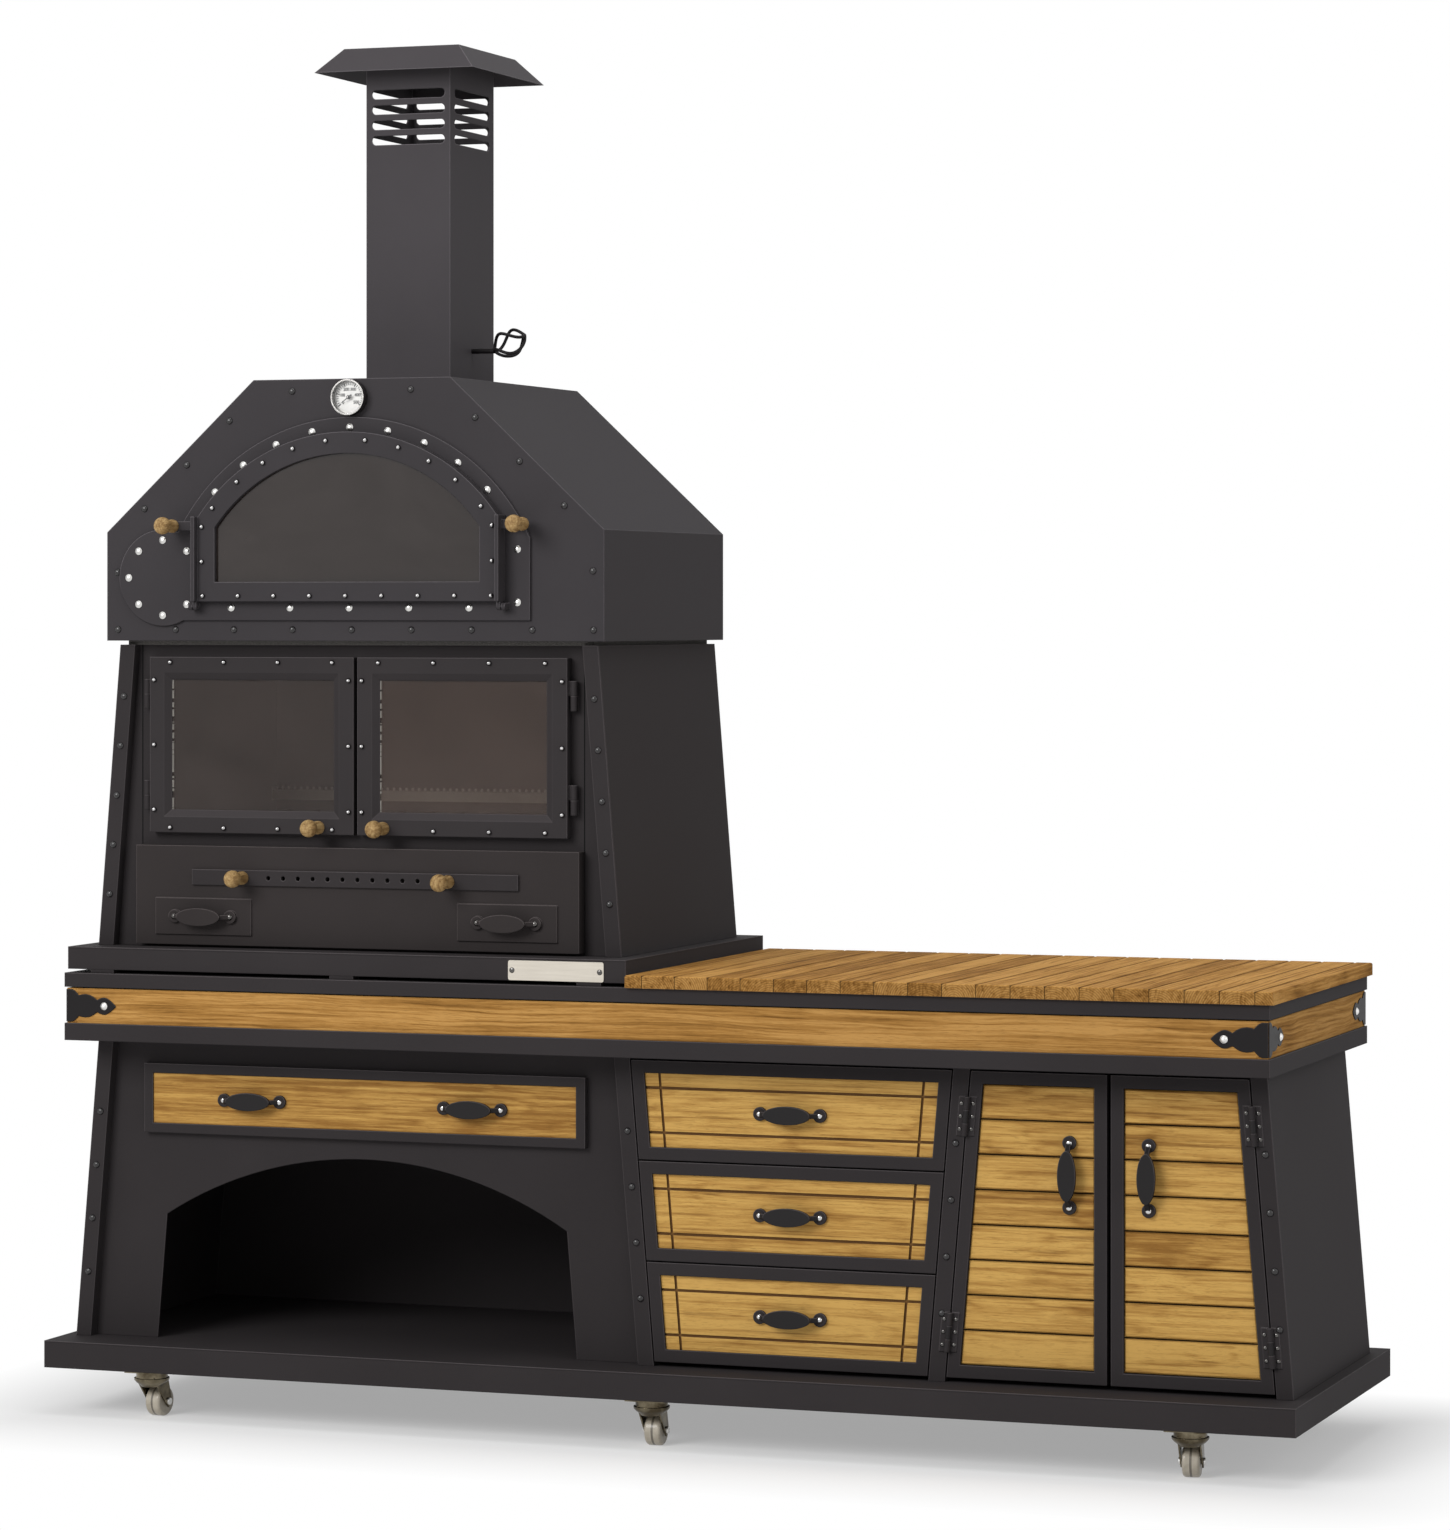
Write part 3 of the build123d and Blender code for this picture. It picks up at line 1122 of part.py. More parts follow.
def chimney():
    """Square flue with rows of round-ended slots under a sloping cap."""
    half_w = FLUE_W / 2
    half_d = FLUE_D / 2
    top = Z_CAP_TOP - CAP_WALL
    tube = block(X_LEFT - half_w, X_LEFT + half_w, FLUE_Y - half_d, FLUE_Y + half_d, Z_FLUE, top)
    in_w = half_w - FLUE_WALL
    in_d = half_d - FLUE_WALL
    tube -= block(X_LEFT - in_w, X_LEFT + in_w, FLUE_Y - in_d, FLUE_Y + in_d, Z_FLUE, top)
    for row in range(SLOT_ROWS):
        z = Z_CAP - SLOT_TOP_DROP - row * SLOT_PITCH
        reach = half_w - SLOT_MARGIN_X
        front_slot = Plane.XZ * Pos(X_LEFT, z) * SlotOverall(2 * reach, SLOT_H)
        tube -= extrude(front_slot, amount=FLUE_D, both=True)
        reach = half_d - SLOT_MARGIN_Y
        side_slot = Plane.YZ.offset(X_LEFT) * Pos(FLUE_Y, z) * SlotOverall(2 * reach, SLOT_H)
        tube -= extrude(side_slot, amount=FLUE_W, both=True)
    z_shaft = Z_FLUE + DAMPER_UP
    shaft_ends = [(X_LEFT + side * half_w, FLUE_Y, z_shaft) for side in (-1, 1)]
    tube -= rod(*shaft_ends, DAMPER_SHAFT_R + PIN_FIT)
    save("chimney", tube)

    centre = Pos(X_LEFT, FLUE_Y)
    rim = Plane.XY.offset(Z_CAP) * centre * Rectangle(CAP_RIM_W, CAP_RIM_D)
    crown = Plane.XY.offset(Z_CAP_TOP) * centre * Rectangle(CAP_TOP_W, CAP_TOP_D)
    wall = 2 * CAP_WALL
    rim_in = Plane.XY.offset(Z_CAP) * centre * Rectangle(CAP_RIM_W - wall, CAP_RIM_D - wall)
    crown_in = Plane.XY.offset(top) * centre * Rectangle(CAP_TOP_W - wall, CAP_TOP_D - wall)
    save("chimney_cap", loft([rim, crown]) - loft([rim_in, crown_in]))


def damper():
    """Butterfly plate on its shaft, with a twisted basket handle outside the flue."""
    z = Z_FLUE + DAMPER_UP
    half_w = FLUE_W / 2 - FLUE_WALL - DAMPER_CLEAR
    half_h = FLUE_D / 2 - FLUE_WALL - DAMPER_CLEAR
    half_t = DAMPER_T / 2
    plate = block(X_LEFT - half_w, X_LEFT + half_w, FLUE_Y - half_t, FLUE_Y + half_t, z - half_h, z + half_h)
    root = X_LEFT + FLUE_W / 2 + DAMPER_OUT
    shaft = rod((X_LEFT - FLUE_W / 2, FLUE_Y, z), (root, FLUE_Y, z), DAMPER_SHAFT_R)
    handle = plate + shaft
    tilt = math.radians(BASKET_TILT)
    along = Vector(math.cos(tilt), 0, math.sin(tilt))
    foot = Vector(root, FLUE_Y, z)
    grip = Plane(origin=foot, x_dir=(0, 1, 0), z_dir=along)
    for index in range(BASKET_WIRES):
        start = 360.0 * index / BASKET_WIRES
        points = []
        for step in range(BASKET_STEPS + 1):
            share = step / BASKET_STEPS
            angle = math.radians(start + BASKET_TWIST * share)
            radius = BASKET_R * math.sin(math.pi * share)
            points.append((radius * math.cos(angle), radius * math.sin(angle), BASKET_LENGTH * share))
        wire = Spline(*points)
        section = Plane(origin=wire @ 0, z_dir=wire % 0) * Circle(BASKET_WIRE_R)
        handle += grip * sweep(section, path=wire)
    save("damper", handle)


def thermometer():
    """Dial thermometer in the hood's brow: case with probe, lens and needle."""
    z = Z_FLUE - DIAL_DROP
    back = HOOD_FRONT
    front = back - DIAL_DEPTH
    case = rod((X_LEFT, back, z), (X_LEFT, front, z), DIAL_R)
    case -= rod((X_LEFT, back - DIAL_BACK_T, z), (X_LEFT, front, z), DIAL_R - DIAL_WALL)
    case += rod((X_LEFT, back, z), (X_LEFT, back + PROBE_LENGTH, z), PROBE_R)
    seat = front + LENS_T
    spindle_end = seat + TURN_GAP
    case += rod((X_LEFT, back - DIAL_BACK_T, z), (X_LEFT, spindle_end, z), SPINDLE_R)
    lens = rod((X_LEFT, seat, z), (X_LEFT, front, z), DIAL_R - DIAL_WALL)
    middle = (back - DIAL_BACK_T + seat) / 2
    hub = rod((X_LEFT, middle, z), (X_LEFT, middle - NEEDLE_T * 2, z), NEEDLE_HUB_R)
    tip = [(-NEEDLE_TAIL, -NEEDLE_W / 2), (NEEDLE_LENGTH, 0), (-NEEDLE_TAIL, NEEDLE_W / 2)]
    cold = math.radians(NEEDLE_REST)
    c = math.cos(cold)
    s = math.sin(cold)
    outline = [(X_LEFT + px * c - pz * s, z + px * s + pz * c) for px, pz in tip]
    blade = upright(outline, middle - NEEDLE_T * 2, middle - NEEDLE_T)
    needle = hub + blade - rod((X_LEFT, middle, z), (X_LEFT, front, z), SPINDLE_R + PIN_FIT)
    save("thermometer_case", case)
    save("thermometer_lens", lens)
    save("thermometer_needle", needle)


os.makedirs("parts", exist_ok=True)
plinth()
castors()
base_panels(drawers())
log_bay_front()
log_drawer()
corner_strips(cupboard_doors())
worktop()
oven_tray()
stand()
firebox()
fire_doors()
ash_drawer()
hood()
oven_surround()
oven_chamber()
oven_door()
chimney()
damper()
thermometer()
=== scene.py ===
# %% [markdown]
# # An outdoor kitchen of charcoal steel and golden wood
# This lesson dresses a finished construction model: a wood-fired oven on its stand, a plank worktop,
# drawers, a log bay and a cupboard. The steel and the boards come with the construction model and stay
# where they are. Here they get their finishes, and the small trim that a maker adds last: rivets, studs,
# screws, straps and a dial.

# %% Load the construction model
import json
import math
import bpy
from mathutils import Matrix, Vector


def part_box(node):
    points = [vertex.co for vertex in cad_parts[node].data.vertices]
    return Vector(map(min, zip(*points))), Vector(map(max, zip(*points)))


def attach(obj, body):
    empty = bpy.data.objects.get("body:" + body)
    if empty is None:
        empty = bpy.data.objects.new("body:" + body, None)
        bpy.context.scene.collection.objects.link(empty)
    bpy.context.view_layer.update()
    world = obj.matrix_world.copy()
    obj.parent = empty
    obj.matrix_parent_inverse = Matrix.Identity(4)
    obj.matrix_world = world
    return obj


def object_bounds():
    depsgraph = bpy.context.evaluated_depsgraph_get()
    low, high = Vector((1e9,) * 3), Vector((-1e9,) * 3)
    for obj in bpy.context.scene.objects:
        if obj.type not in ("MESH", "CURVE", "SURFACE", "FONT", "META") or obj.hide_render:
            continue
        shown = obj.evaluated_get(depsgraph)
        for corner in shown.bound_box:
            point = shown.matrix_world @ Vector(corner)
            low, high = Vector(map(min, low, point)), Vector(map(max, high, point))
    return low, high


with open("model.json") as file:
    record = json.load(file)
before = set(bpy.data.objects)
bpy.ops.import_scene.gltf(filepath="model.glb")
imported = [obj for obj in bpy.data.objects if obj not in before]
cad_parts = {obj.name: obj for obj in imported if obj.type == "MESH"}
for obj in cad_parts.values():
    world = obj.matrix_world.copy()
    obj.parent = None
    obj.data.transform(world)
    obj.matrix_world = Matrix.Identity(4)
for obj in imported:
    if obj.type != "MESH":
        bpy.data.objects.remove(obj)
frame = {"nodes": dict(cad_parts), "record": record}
nodes = frame["nodes"]
cad_box = [list(corner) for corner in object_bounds()]
bpy.ops.object.select_all(action="DESELECT")
MM = 0.001

# %% [markdown]
# ## Shader sums that read like sums
# A finish is a graph of nodes, and graphs are hard to read in code. One small class wraps a socket, so that
# `0.4 + 0.2 * grain` adds the two Math nodes by itself. A second class holds a graph while it is being made,
# with one method that adds any other node. A third is the graph of a material, with the patterns that the
# finishes below share.


# %% Wrap a socket so that arithmetic adds Math nodes
class Wire:
    """One output socket of a graph."""

    def __init__(self, graph, socket):
        self.graph = graph
        self.socket = socket

    def outputs(self):
        return [Wire(self.graph, socket) for socket in self.socket.node.outputs]

    def __add__(self, other):
        return self.graph.sum("ADD", self, other)

    def __radd__(self, other):
        return self.graph.sum("ADD", other, self)

    def __sub__(self, other):
        return self.graph.sum("SUBTRACT", self, other)

    def __rsub__(self, other):
        return self.graph.sum("SUBTRACT", other, self)

    def __mul__(self, other):
        return self.graph.sum("MULTIPLY", self, other)

    def __rmul__(self, other):
        return self.graph.sum("MULTIPLY", other, self)

    def __truediv__(self, other):
        return self.graph.sum("DIVIDE", self, other)

    def __gt__(self, other):
        return self.graph.sum("GREATER_THAN", self, other)

    def __lt__(self, other):
        return self.graph.sum("LESS_THAN", self, other)

    def __abs__(self):
        return self.graph.sum("ABSOLUTE", self)


# %% Hold a graph while it is made
class Graph:
    """A node tree under construction."""

    def __init__(self, tree):
        self.tree = tree

    def feed(self, socket, value):
        if isinstance(value, Wire):
            self.tree.links.new(value.socket, socket)
        else:
            socket.default_value = value

    def node(self, kind, settings=None, inputs=None, output=0):
        made = self.tree.nodes.new(kind)
        for key, value in (settings or {}).items():
            if key == "stops":
                self.fill_ramp(made.color_ramp, value)
            elif key == "steps":
                made.color_ramp.interpolation = "CONSTANT"
            else:
                setattr(made, key, value)
        for key, value in (inputs or {}).items():
            self.feed(made.inputs[key], value)
        return Wire(self, made.outputs[output])

    def fill_ramp(self, ramp, stops):
        while len(ramp.elements) < len(stops):
            ramp.elements.new(1.0)
        for element, (place, colour) in zip(ramp.elements, stops):
            element.position = place
            element.color = (*colour, 1.0)

    def sum(self, operation, *terms):
        return self.node("ShaderNodeMath", {"operation": operation}, dict(enumerate(terms)))

    def clip(self, value):
        return self.node("ShaderNodeClamp", None, {"Value": value})

    def seen_rays(self):
        """One for rays of the camera, of gloss and of glass; nothing for rays that light the object."""
        rays = self.node("ShaderNodeLightPath", None, None, "Is Camera Ray")
        for kind in ("Is Glossy Ray", "Is Transmission Ray"):
            rays = self.sum("MAXIMUM", rays, self.node("ShaderNodeLightPath", None, None, kind))
        return rays


# %% Hold a finish while it is made
class Finish(Graph):
    """A material under construction, with its Principled shader."""

    def __init__(self, name):
        self.material = bpy.data.materials.new(name)
        self.material.use_nodes = True
        super().__init__(self.material.node_tree)
        self.shader = self.tree.nodes["Principled BSDF"]

    def spot(self):
        return self.node("ShaderNodeTexCoord", None, None, "Object")

    def axes(self):
        return self.node("ShaderNodeSeparateXYZ", None, {0: self.spot()}).outputs()

    def true_normal(self):
        return self.node("ShaderNodeNewGeometry", None, None, "Normal")

    def facing(self):
        return self.node("ShaderNodeSeparateXYZ", None, {0: self.true_normal()}).outputs()

    def point(self, x, y, z):
        return self.node("ShaderNodeCombineXYZ", None, {0: x, 1: y, 2: z})

    def noise(self, place, scale, detail=3.0, rough=0.5, twist=0.0):
        inputs = {"Vector": place, "Scale": scale, "Detail": detail, "Roughness": rough}
        return self.node("ShaderNodeTexNoise", None, {**inputs, "Distortion": twist})

    def mix(self, share, first, second):
        first, second = [c if isinstance(c, Wire) else (*c, 1.0) for c in (first, second)]
        return self.node("ShaderNodeMix", {"data_type": "RGBA"}, {0: share, 6: first, 7: second}, 2)

    def rounded(self, radius):
        return self.node("ShaderNodeBevel", {"samples": 6}, {"Radius": radius})

    def edges(self, radius, gain):
        vectors = {0: self.rounded(radius), 1: self.true_normal()}
        agree = self.node("ShaderNodeVectorMath", {"operation": "DOT_PRODUCT"}, vectors, "Value")
        return self.clip((1.0 - agree) * gain)

    # Painted shade: darkens the piece's own gaps and grooves, found by ambient occlusion.
    def crevice(self, reach, gain):
        settings = {"samples": 8, "only_local": True}
        openness = self.node("ShaderNodeAmbientOcclusion", settings, {"Distance": reach}, "AO")
        return self.clip((0.90 - openness) * gain)

    def bump(self, height, distance, normal=None):
        inputs = {"Height": height, "Distance": distance, "Strength": 1.0}
        if normal:
            inputs["Normal"] = normal
        return self.node("ShaderNodeBump", None, inputs)

    def paint(self, **sockets):
        for name, value in sockets.items():
            socket = self.shader.inputs[name.replace("_", " ")]
            if isinstance(value, tuple) and len(value) == 3:
                value = (*value, 1.0)
            self.feed(socket, value)
        return self.material


# %% Two small helpers for finishes
def dress(material, *names):
    """Give construction nodes a finish."""
    for name in names:
        slots = nodes[name].data.materials
        slots.clear()
        slots.append(material)


def times(colour, factor, lift=0.0):
    """A colour made lighter or darker."""
    return tuple(factor * part + lift for part in colour)


print("pieces to dress:", sum(node.type == "MESH" for node in nodes.values()))

# %% [markdown]
# ## Charcoal powder coat
# Every sheet and frame is steel with a satin charcoal powder coat. Powder melts into a fine orange peel, lies
# a little thinner on edges, and gathers dust in broad soft clouds. The folds could be bevelled in the mesh,
# but the construction model stays as it is, so a Bevel node gives its sharp edges the small radius of a real
# fold. Where that differs from the true normal it also marks the edge: edges that look up get a painted
# highlight, partly wear, and edges that look down get painted shade. Faces that look up can be painted
# lighter too, partly dust and partly painted light from above.


# %% Charcoal finish
COAT_GLOSS = 0.10
FOLD_RADIUS = 1.4 * MM
WORN_AND_LIT_EDGE = 3.0 * MM
PEEL_DEPTH = 0.12 * MM
SEAM_HALF = 1.3 * MM
SEAM_SHADE = (0.004, 0.004, 0.004)
FORGED = (0.0195, 0.0180, 0.0186)


def charcoal_coat(name, shade, roughness=0.74, seams=None, face=None, dust_and_top_light=0.0):
    """Powder coat. Seams are upright joints, given by their middle and reach. Forged iron stands before
    y = face. Upward slopes are painted lighter, partly as dust and partly as painted light from above."""
    coat = Finish(name)
    spot = coat.spot()
    x, y = coat.axes()[:2]
    cloud = coat.noise(spot, 2.6, 5.0, 0.55)
    peel = coat.noise(spot, 420.0, 2.0)
    speck = coat.noise(spot, 1500.0, 1.0)
    base = coat.mix(coat.clip((cloud - 0.35) * 2.2), shade, times(shade, 1.22, 0.002))
    base = coat.mix(coat.clip((speck - 0.56) * 2.0), base, times(shade, 1.5))
    rough = roughness + 0.16 * (cloud - 0.5) + 0.10 * (peel - 0.5)
    if face is not None:
        forged = y < face
        base = coat.mix(forged, base, FORGED)
        rough = rough - 0.28 * forged
    # Faces that look up are painted lighter: partly dust, partly painted light from above.
    if dust_and_top_light:
        lying = coat.clip((coat.facing()[2] - 0.2) * 2.0)
        base = coat.mix(lying * dust_and_top_light, base, times(shade, 2.4))
    # Edges that look up get a painted highlight, partly wear; edges that look down get painted shade.
    edge = coat.edges(WORN_AND_LIT_EDGE, 8.0)
    upward = coat.node("ShaderNodeSeparateXYZ", None, {0: coat.rounded(WORN_AND_LIT_EDGE)}, 2)
    base = coat.mix(edge * coat.clip(upward * 3.0 + 0.6) * 0.75, base, times(shade, 4.2, 0.016))
    base = coat.mix(edge * coat.clip(upward * -3.0 - 0.2) * 0.8, base, times(shade, 0.3))
    if seams:
        middle, reach = seams
        base = coat.mix(abs(abs(x - middle) - reach) < SEAM_HALF, base, SEAM_SHADE)
    skin = coat.bump(peel, PEEL_DEPTH, coat.rounded(FOLD_RADIUS))
    return coat.paint(Base_Color=base, Roughness=rough, Normal=skin, Specular_IOR_Level=COAT_GLOSS)


# %% Coats of the carcass, the stand and the oven
CHARCOAL = (0.0275, 0.0240, 0.0250)
SOOTED = (0.0285, 0.0240, 0.0238)
HOOD_LIT = (0.0370, 0.0335, 0.0362)
IRON_BLACK = (0.0125, 0.0112, 0.0118)
ASH_FRONT_HALF = 471 * MM
hood_low, hood_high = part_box("hood_shell")
oven_x = (hood_low.x + hood_high.x) / 2
iron_black = charcoal_coat("forged_black", IRON_BLACK, 0.46)
dress(charcoal_coat("charcoal_coat", CHARCOAL), "plinth", "base_panels", "log_bay_front", "corner_strips",
      "lower_rail", "upper_rail", "oven_tray", "stand_panels", "air_slide")
dress(charcoal_coat("fire_frame_coat", CHARCOAL, 0.66, dust_and_top_light=0.8), "fire_door_left_frame",
      "fire_door_right_frame")
# The hood, surround and oven door take a lighter copy of the charcoal, and the chimney a lighter one still:
# painted light on the upper parts.
dress(charcoal_coat("hood_lit_coat", HOOD_LIT, 0.70), "hood_shell", "oven_surround", "oven_door_frame")
dress(charcoal_coat("flue_lit_coat", times(HOOD_LIT, 1.36), 0.66), "chimney", "chimney_cap")
dress(charcoal_coat("stand_face_coat", CHARCOAL, 0.74, (oven_x, ASH_FRONT_HALF)), "stand_front")
dress(charcoal_coat("ash_drawer_coat", SOOTED), "ash_drawer")
dress(iron_black, "damper")

# %% Coats of drawers and doors, whose pulls are forged iron
FRAME_PROUD = 10 * MM
pull_fronts = {"log_drawer_box": "log_drawer_panel"}
pull_fronts.update({f"drawer_{number}_box": f"drawer_{number}_panel" for number in (1, 2, 3)})
pull_fronts.update({f"{side}_door_frame": f"{side}_door_slats" for side in ("left", "right")})
for name, panel in pull_fronts.items():
    dress(charcoal_coat(f"{name}_coat", CHARCOAL, face=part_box(panel)[0].y - FRAME_PROUD), name)
print("coats:", [m.name for m in bpy.data.materials if "coat" in m.name])

# %% [markdown]
# ## Boards of golden wood
# The fronts, slats, band and worktop are boards of a hardwood under clear oil. A picture of wood would show
# the same board again and again, so the grain is made of noise. Fibre is noise stretched along the board, dark
# veins are wider and sway slowly, streaks run nearly the whole length, smoke is the soft brown clouding of old
# boards, and pores are short dashes. Each board is counted by its place, and its number picks its own tone and
# shifts its grain, so no two look alike. Dark lines mark the joints of the planks, and the grooves of the
# drawers are painted dark. Painted shade darkens the gaps: an ambient occlusion node that sees only the piece
# itself finds them, and a painted highlight makes the edges paler.


# %% Wood finish
JOINT_FROM = 0.44
RING_SPREAD = 30 * MM
GAP_REACH = 11 * MM
WOOD_EDGE = 2.5 * MM
WOOD_ROUND = 2.0 * MM
FIBRE_DEPTH = 0.30 * MM


def board_wood(name, along, board, tones, seed, vein_share=0.5, smoke_share=0.4, turn_at=None, ends=None,
               oil=0.5, picks=None, face=None):
    """Board gives the axis that counts boards, its start and pitch. Picks are the boards' own depths of tone.
    Beyond turn_at the grain turns with the board. Ends is the height of the heart in boards that show their
    end grain. Behind y = face lie the grooves, which are painted dark."""
    wood = Finish(name)
    axes = wood.axes()
    run = axes[along]
    side = [axes[i] for i in range(3) if i != along]
    if turn_at:
        beyond = abs(axes[0]) > turn_at
        run = axes[0] * (1.0 - beyond) + axes[1] * beyond
        side = [axes[2], axes[1] * (1.0 - beyond) + axes[0] * beyond]
    count_by, start, pitch = board
    counted = (axes[count_by] - start) / pitch
    number = wood.sum("FLOOR", counted)
    luck = wood.node("ShaderNodeTexWhiteNoise", {"noise_dimensions": "1D"}, {"W": number + seed})
    second = wood.node("ShaderNodeTexWhiteNoise", {"noise_dimensions": "1D"}, {"W": number + seed + 41.5})
    tone = luck
    if picks:
        stops = [(i / len(picks), (pick, pick, pick)) for i, pick in enumerate(picks)]
        share = (number + 0.5) / len(picks)
        tone = wood.node("ShaderNodeValToRGB", {"stops": stops, "steps": True}, {"Fac": share})

    place = wood.point(run * 1.6 + luck * 31.0, side[0] * 8.0 + second * 17.0, side[1] * 8.0)
    sway = wood.noise(place, 1.0, 3.0) - 0.5
    lane = side[0] + 0.045 * sway
    place = wood.point(run * 8.0 + second * 13.0, lane * 260.0, side[1] * 260.0 + luck * 5.0)
    fibre = wood.noise(place, 1.0, 5.0, 0.7)
    place = wood.point(run * 2.2 + luck * 23.0, lane * 84.0 + second * 9.0, side[1] * 84.0)
    vein = wood.noise(place, 1.0, 4.0, 0.65)
    place = wood.point(run * 5.0 + luck * 7.0, side[0] * 12.0 + second * 3.0, side[1] * 12.0)
    smoke = wood.noise(place, 1.0, 4.0, 0.6)
    place = wood.point(run * 1.4 + second * 19.0, lane * 150.0 + luck * 3.0, side[1] * 150.0)
    streak = wood.noise(place, 1.0, 2.0)
    dash = wood.noise(wood.point(run * 46.0 + luck * 9.0, lane * 1200.0, side[1] * 1200.0), 1.0, 1.0)
    wave = wood.sum("SINE", lane * 640.0 + sway * 34.0 + vein * 5.0 + luck * 6.0) * 0.5 + 0.5
    growth = wood.sum("POWER", wave, 4.0) * wood.clip((smoke - 0.34) * 3.4)
    pores = wood.clip((dash - 0.60) * 7.0)

    depth = 1.4 * (fibre - 0.5) + 1.3 * (vein - 0.5) + 1.1 * (streak - 0.5) + 0.5 * (smoke - 0.5)
    depth = depth + 0.34 * growth - 0.06
    depth = wood.clip(depth + 0.62 * (tone - 0.5) + 0.44)
    pale, middle, deep, dark = tones
    stops = [(0.10, pale), (0.46, middle), (0.92, deep)]
    grain = wood.node("ShaderNodeValToRGB", {"stops": stops}, {"Fac": depth})
    grain = wood.mix(wood.clip((smoke - 0.58) * 5.0) * smoke_share * 0.8, grain, deep)
    grain = wood.mix(wood.clip((vein - 0.62) * 9.0) * vein_share, grain, dark)
    grain = wood.mix(wood.clip((streak - 0.63) * 10.0) * vein_share * 0.8, grain, dark)
    grain = wood.mix(pores * 0.30, grain, dark)
    if ends is not None:
        within = counted - number - 0.5
        across = (within + (second - 0.5) * 1.4) * pitch
        rise = axes[2] - ends + luck * RING_SPREAD
        ring = wood.sum("SQRT", across * across + rise * rise)
        rings = wood.sum("SINE", ring * 1500.0 + smoke * 7.0) * 0.5 + 0.5
        end = abs(wood.facing()[along]) > 0.75
        grain = wood.mix(end * (0.22 + 0.34 * rings), grain, dark)
        joint = wood.clip((abs(within) - JOINT_FROM) * 28.0)
        grain = wood.mix(joint * (1.0 - end) * 0.9, grain, dark)
    # Painted shade in the gaps and grooves of the piece.
    grain = wood.mix(wood.crevice(GAP_REACH, 3.0) * 0.95, grain, times(dark, 0.5))
    # Painted highlight: the edges of the boards are painted paler.
    grain = wood.mix(wood.edges(WOOD_EDGE, 4.0) * 0.30, grain, pale)
    # The grooves of the drawers are painted dark.
    if face is not None:
        grain = wood.mix((axes[1] > face) * 0.85, grain, dark)
    rough = 0.82 - 0.5 * oil + 0.20 * (fibre - 0.5) + 0.10 * pores
    skin = wood.bump(fibre * 0.6 - pores * 0.7, FIBRE_DEPTH, wood.rounded(WOOD_ROUND))
    return wood.paint(Base_Color=grain, Roughness=rough, Normal=skin, Specular_IOR_Level=0.04 + 0.28 * oil)


# %% Tones and counts of the boards
GOLDEN = ((0.61, 0.362, 0.096), (0.47, 0.257, 0.060), (0.27, 0.124, 0.021), (0.095, 0.037, 0.007))
BROWN = ((0.50, 0.270, 0.080), (0.36, 0.178, 0.044), (0.19, 0.086, 0.018), (0.065, 0.027, 0.007))
PLANK = tuple(times(tone, 1.16) for tone in BROWN)
KNOB = ((0.52, 0.37, 0.17), (0.40, 0.26, 0.11), (0.23, 0.135, 0.050), (0.08, 0.045, 0.020))
DRAWER_PICKS = (0.36, 0.42, 0.20)
LEFT_PICKS = (0.20, 0.40, 0.32, 0.14, 0.80, 0.48, 0.38, 0.56)
RIGHT_PICKS = (0.06, 0.32, 0.22, 0.84, 0.28, 0.26, 0.46, 0.62)
ONE_BOARD = (2, -1.0, 4.0)
SLAT_COUNT = 8
PLANK_PITCH = 66 * MM
PLANK_EDGE = 35 * MM
HEART_BELOW = 6 * MM
GROOVE_FROM = 1.2 * MM
BAND_CORNER = 27 * MM
slat_low, slat_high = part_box("left_door_slats")
plank_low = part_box("worktop_planks")[0]
rail_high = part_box("upper_rail")[1]
slats = (2, slat_low.z, (slat_high.z - slat_low.z) / SLAT_COUNT)
planks = (0, plank_low.x + PLANK_EDGE, PLANK_PITCH)

# %% Boards of the drawers, doors, band and worktop, and turned knobs
for number, pick in enumerate(DRAWER_PICKS, start=1):
    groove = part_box(f"drawer_{number}_panel")[0].y + GROOVE_FROM
    wood = board_wood(f"drawer_wood_{number}", 0, ONE_BOARD, GOLDEN, 3.0 * number + 0.4, picks=(pick, pick),
                      face=groove)
    dress(wood, f"drawer_{number}_panel")
dress(board_wood("log_drawer_wood", 0, ONE_BOARD, GOLDEN, 8.0, 0.25, 0.75, picks=(0.90, 0.90)),
      "log_drawer_panel")
dress(board_wood("slat_wood_left", 0, slats, GOLDEN, 21.0, 0.4, 0.6, picks=LEFT_PICKS), "left_door_slats")
dress(board_wood("slat_wood_right", 0, slats, GOLDEN, 57.0, 0.4, 0.6, picks=RIGHT_PICKS), "right_door_slats")
dress(board_wood("band_wood", 0, ONE_BOARD, BROWN, 5.0, 0.25, 0.18, rail_high.x - BAND_CORNER, oil=0.1,
                 picks=(0.42, 0.42)), "band_boards")
dress(board_wood("plank_wood", 1, planks, PLANK, 11.0, 0.6, 0.4, ends=plank_low.z - HEART_BELOW, oil=0.05),
      "worktop_planks")
dress(board_wood("knob_wood", 1, ONE_BOARD, KNOB, 2.0, 0.5, 0.5), "oven_door_knobs", "fire_door_left_knob",
      "fire_door_right_knob", "air_slide_knobs")
print("plank pitch", PLANK_PITCH, "slat pitch", round(slats[2], 4))

# %% [markdown]
# ## Smoked glass
# The panes are heat-proof glass smoked brown by the fire, so they hide most of the inside. Bent light could be
# traced through them, but a flat pane hardly bends it, so each is a thin film of soot: a tint that covers part
# of what lies behind, through Alpha, with clouds where the soot is thicker.


# %% Smoked glass and the lens of the dial
SEAL_IN = 9 * MM
GLINT_HALF = 1.6 * MM
OVEN_TINT = (0.0195, 0.0145, 0.0130)
FIRE_TINTS = {"left": (0.043, 0.0315, 0.0275), "right": (0.062, 0.042, 0.034)}


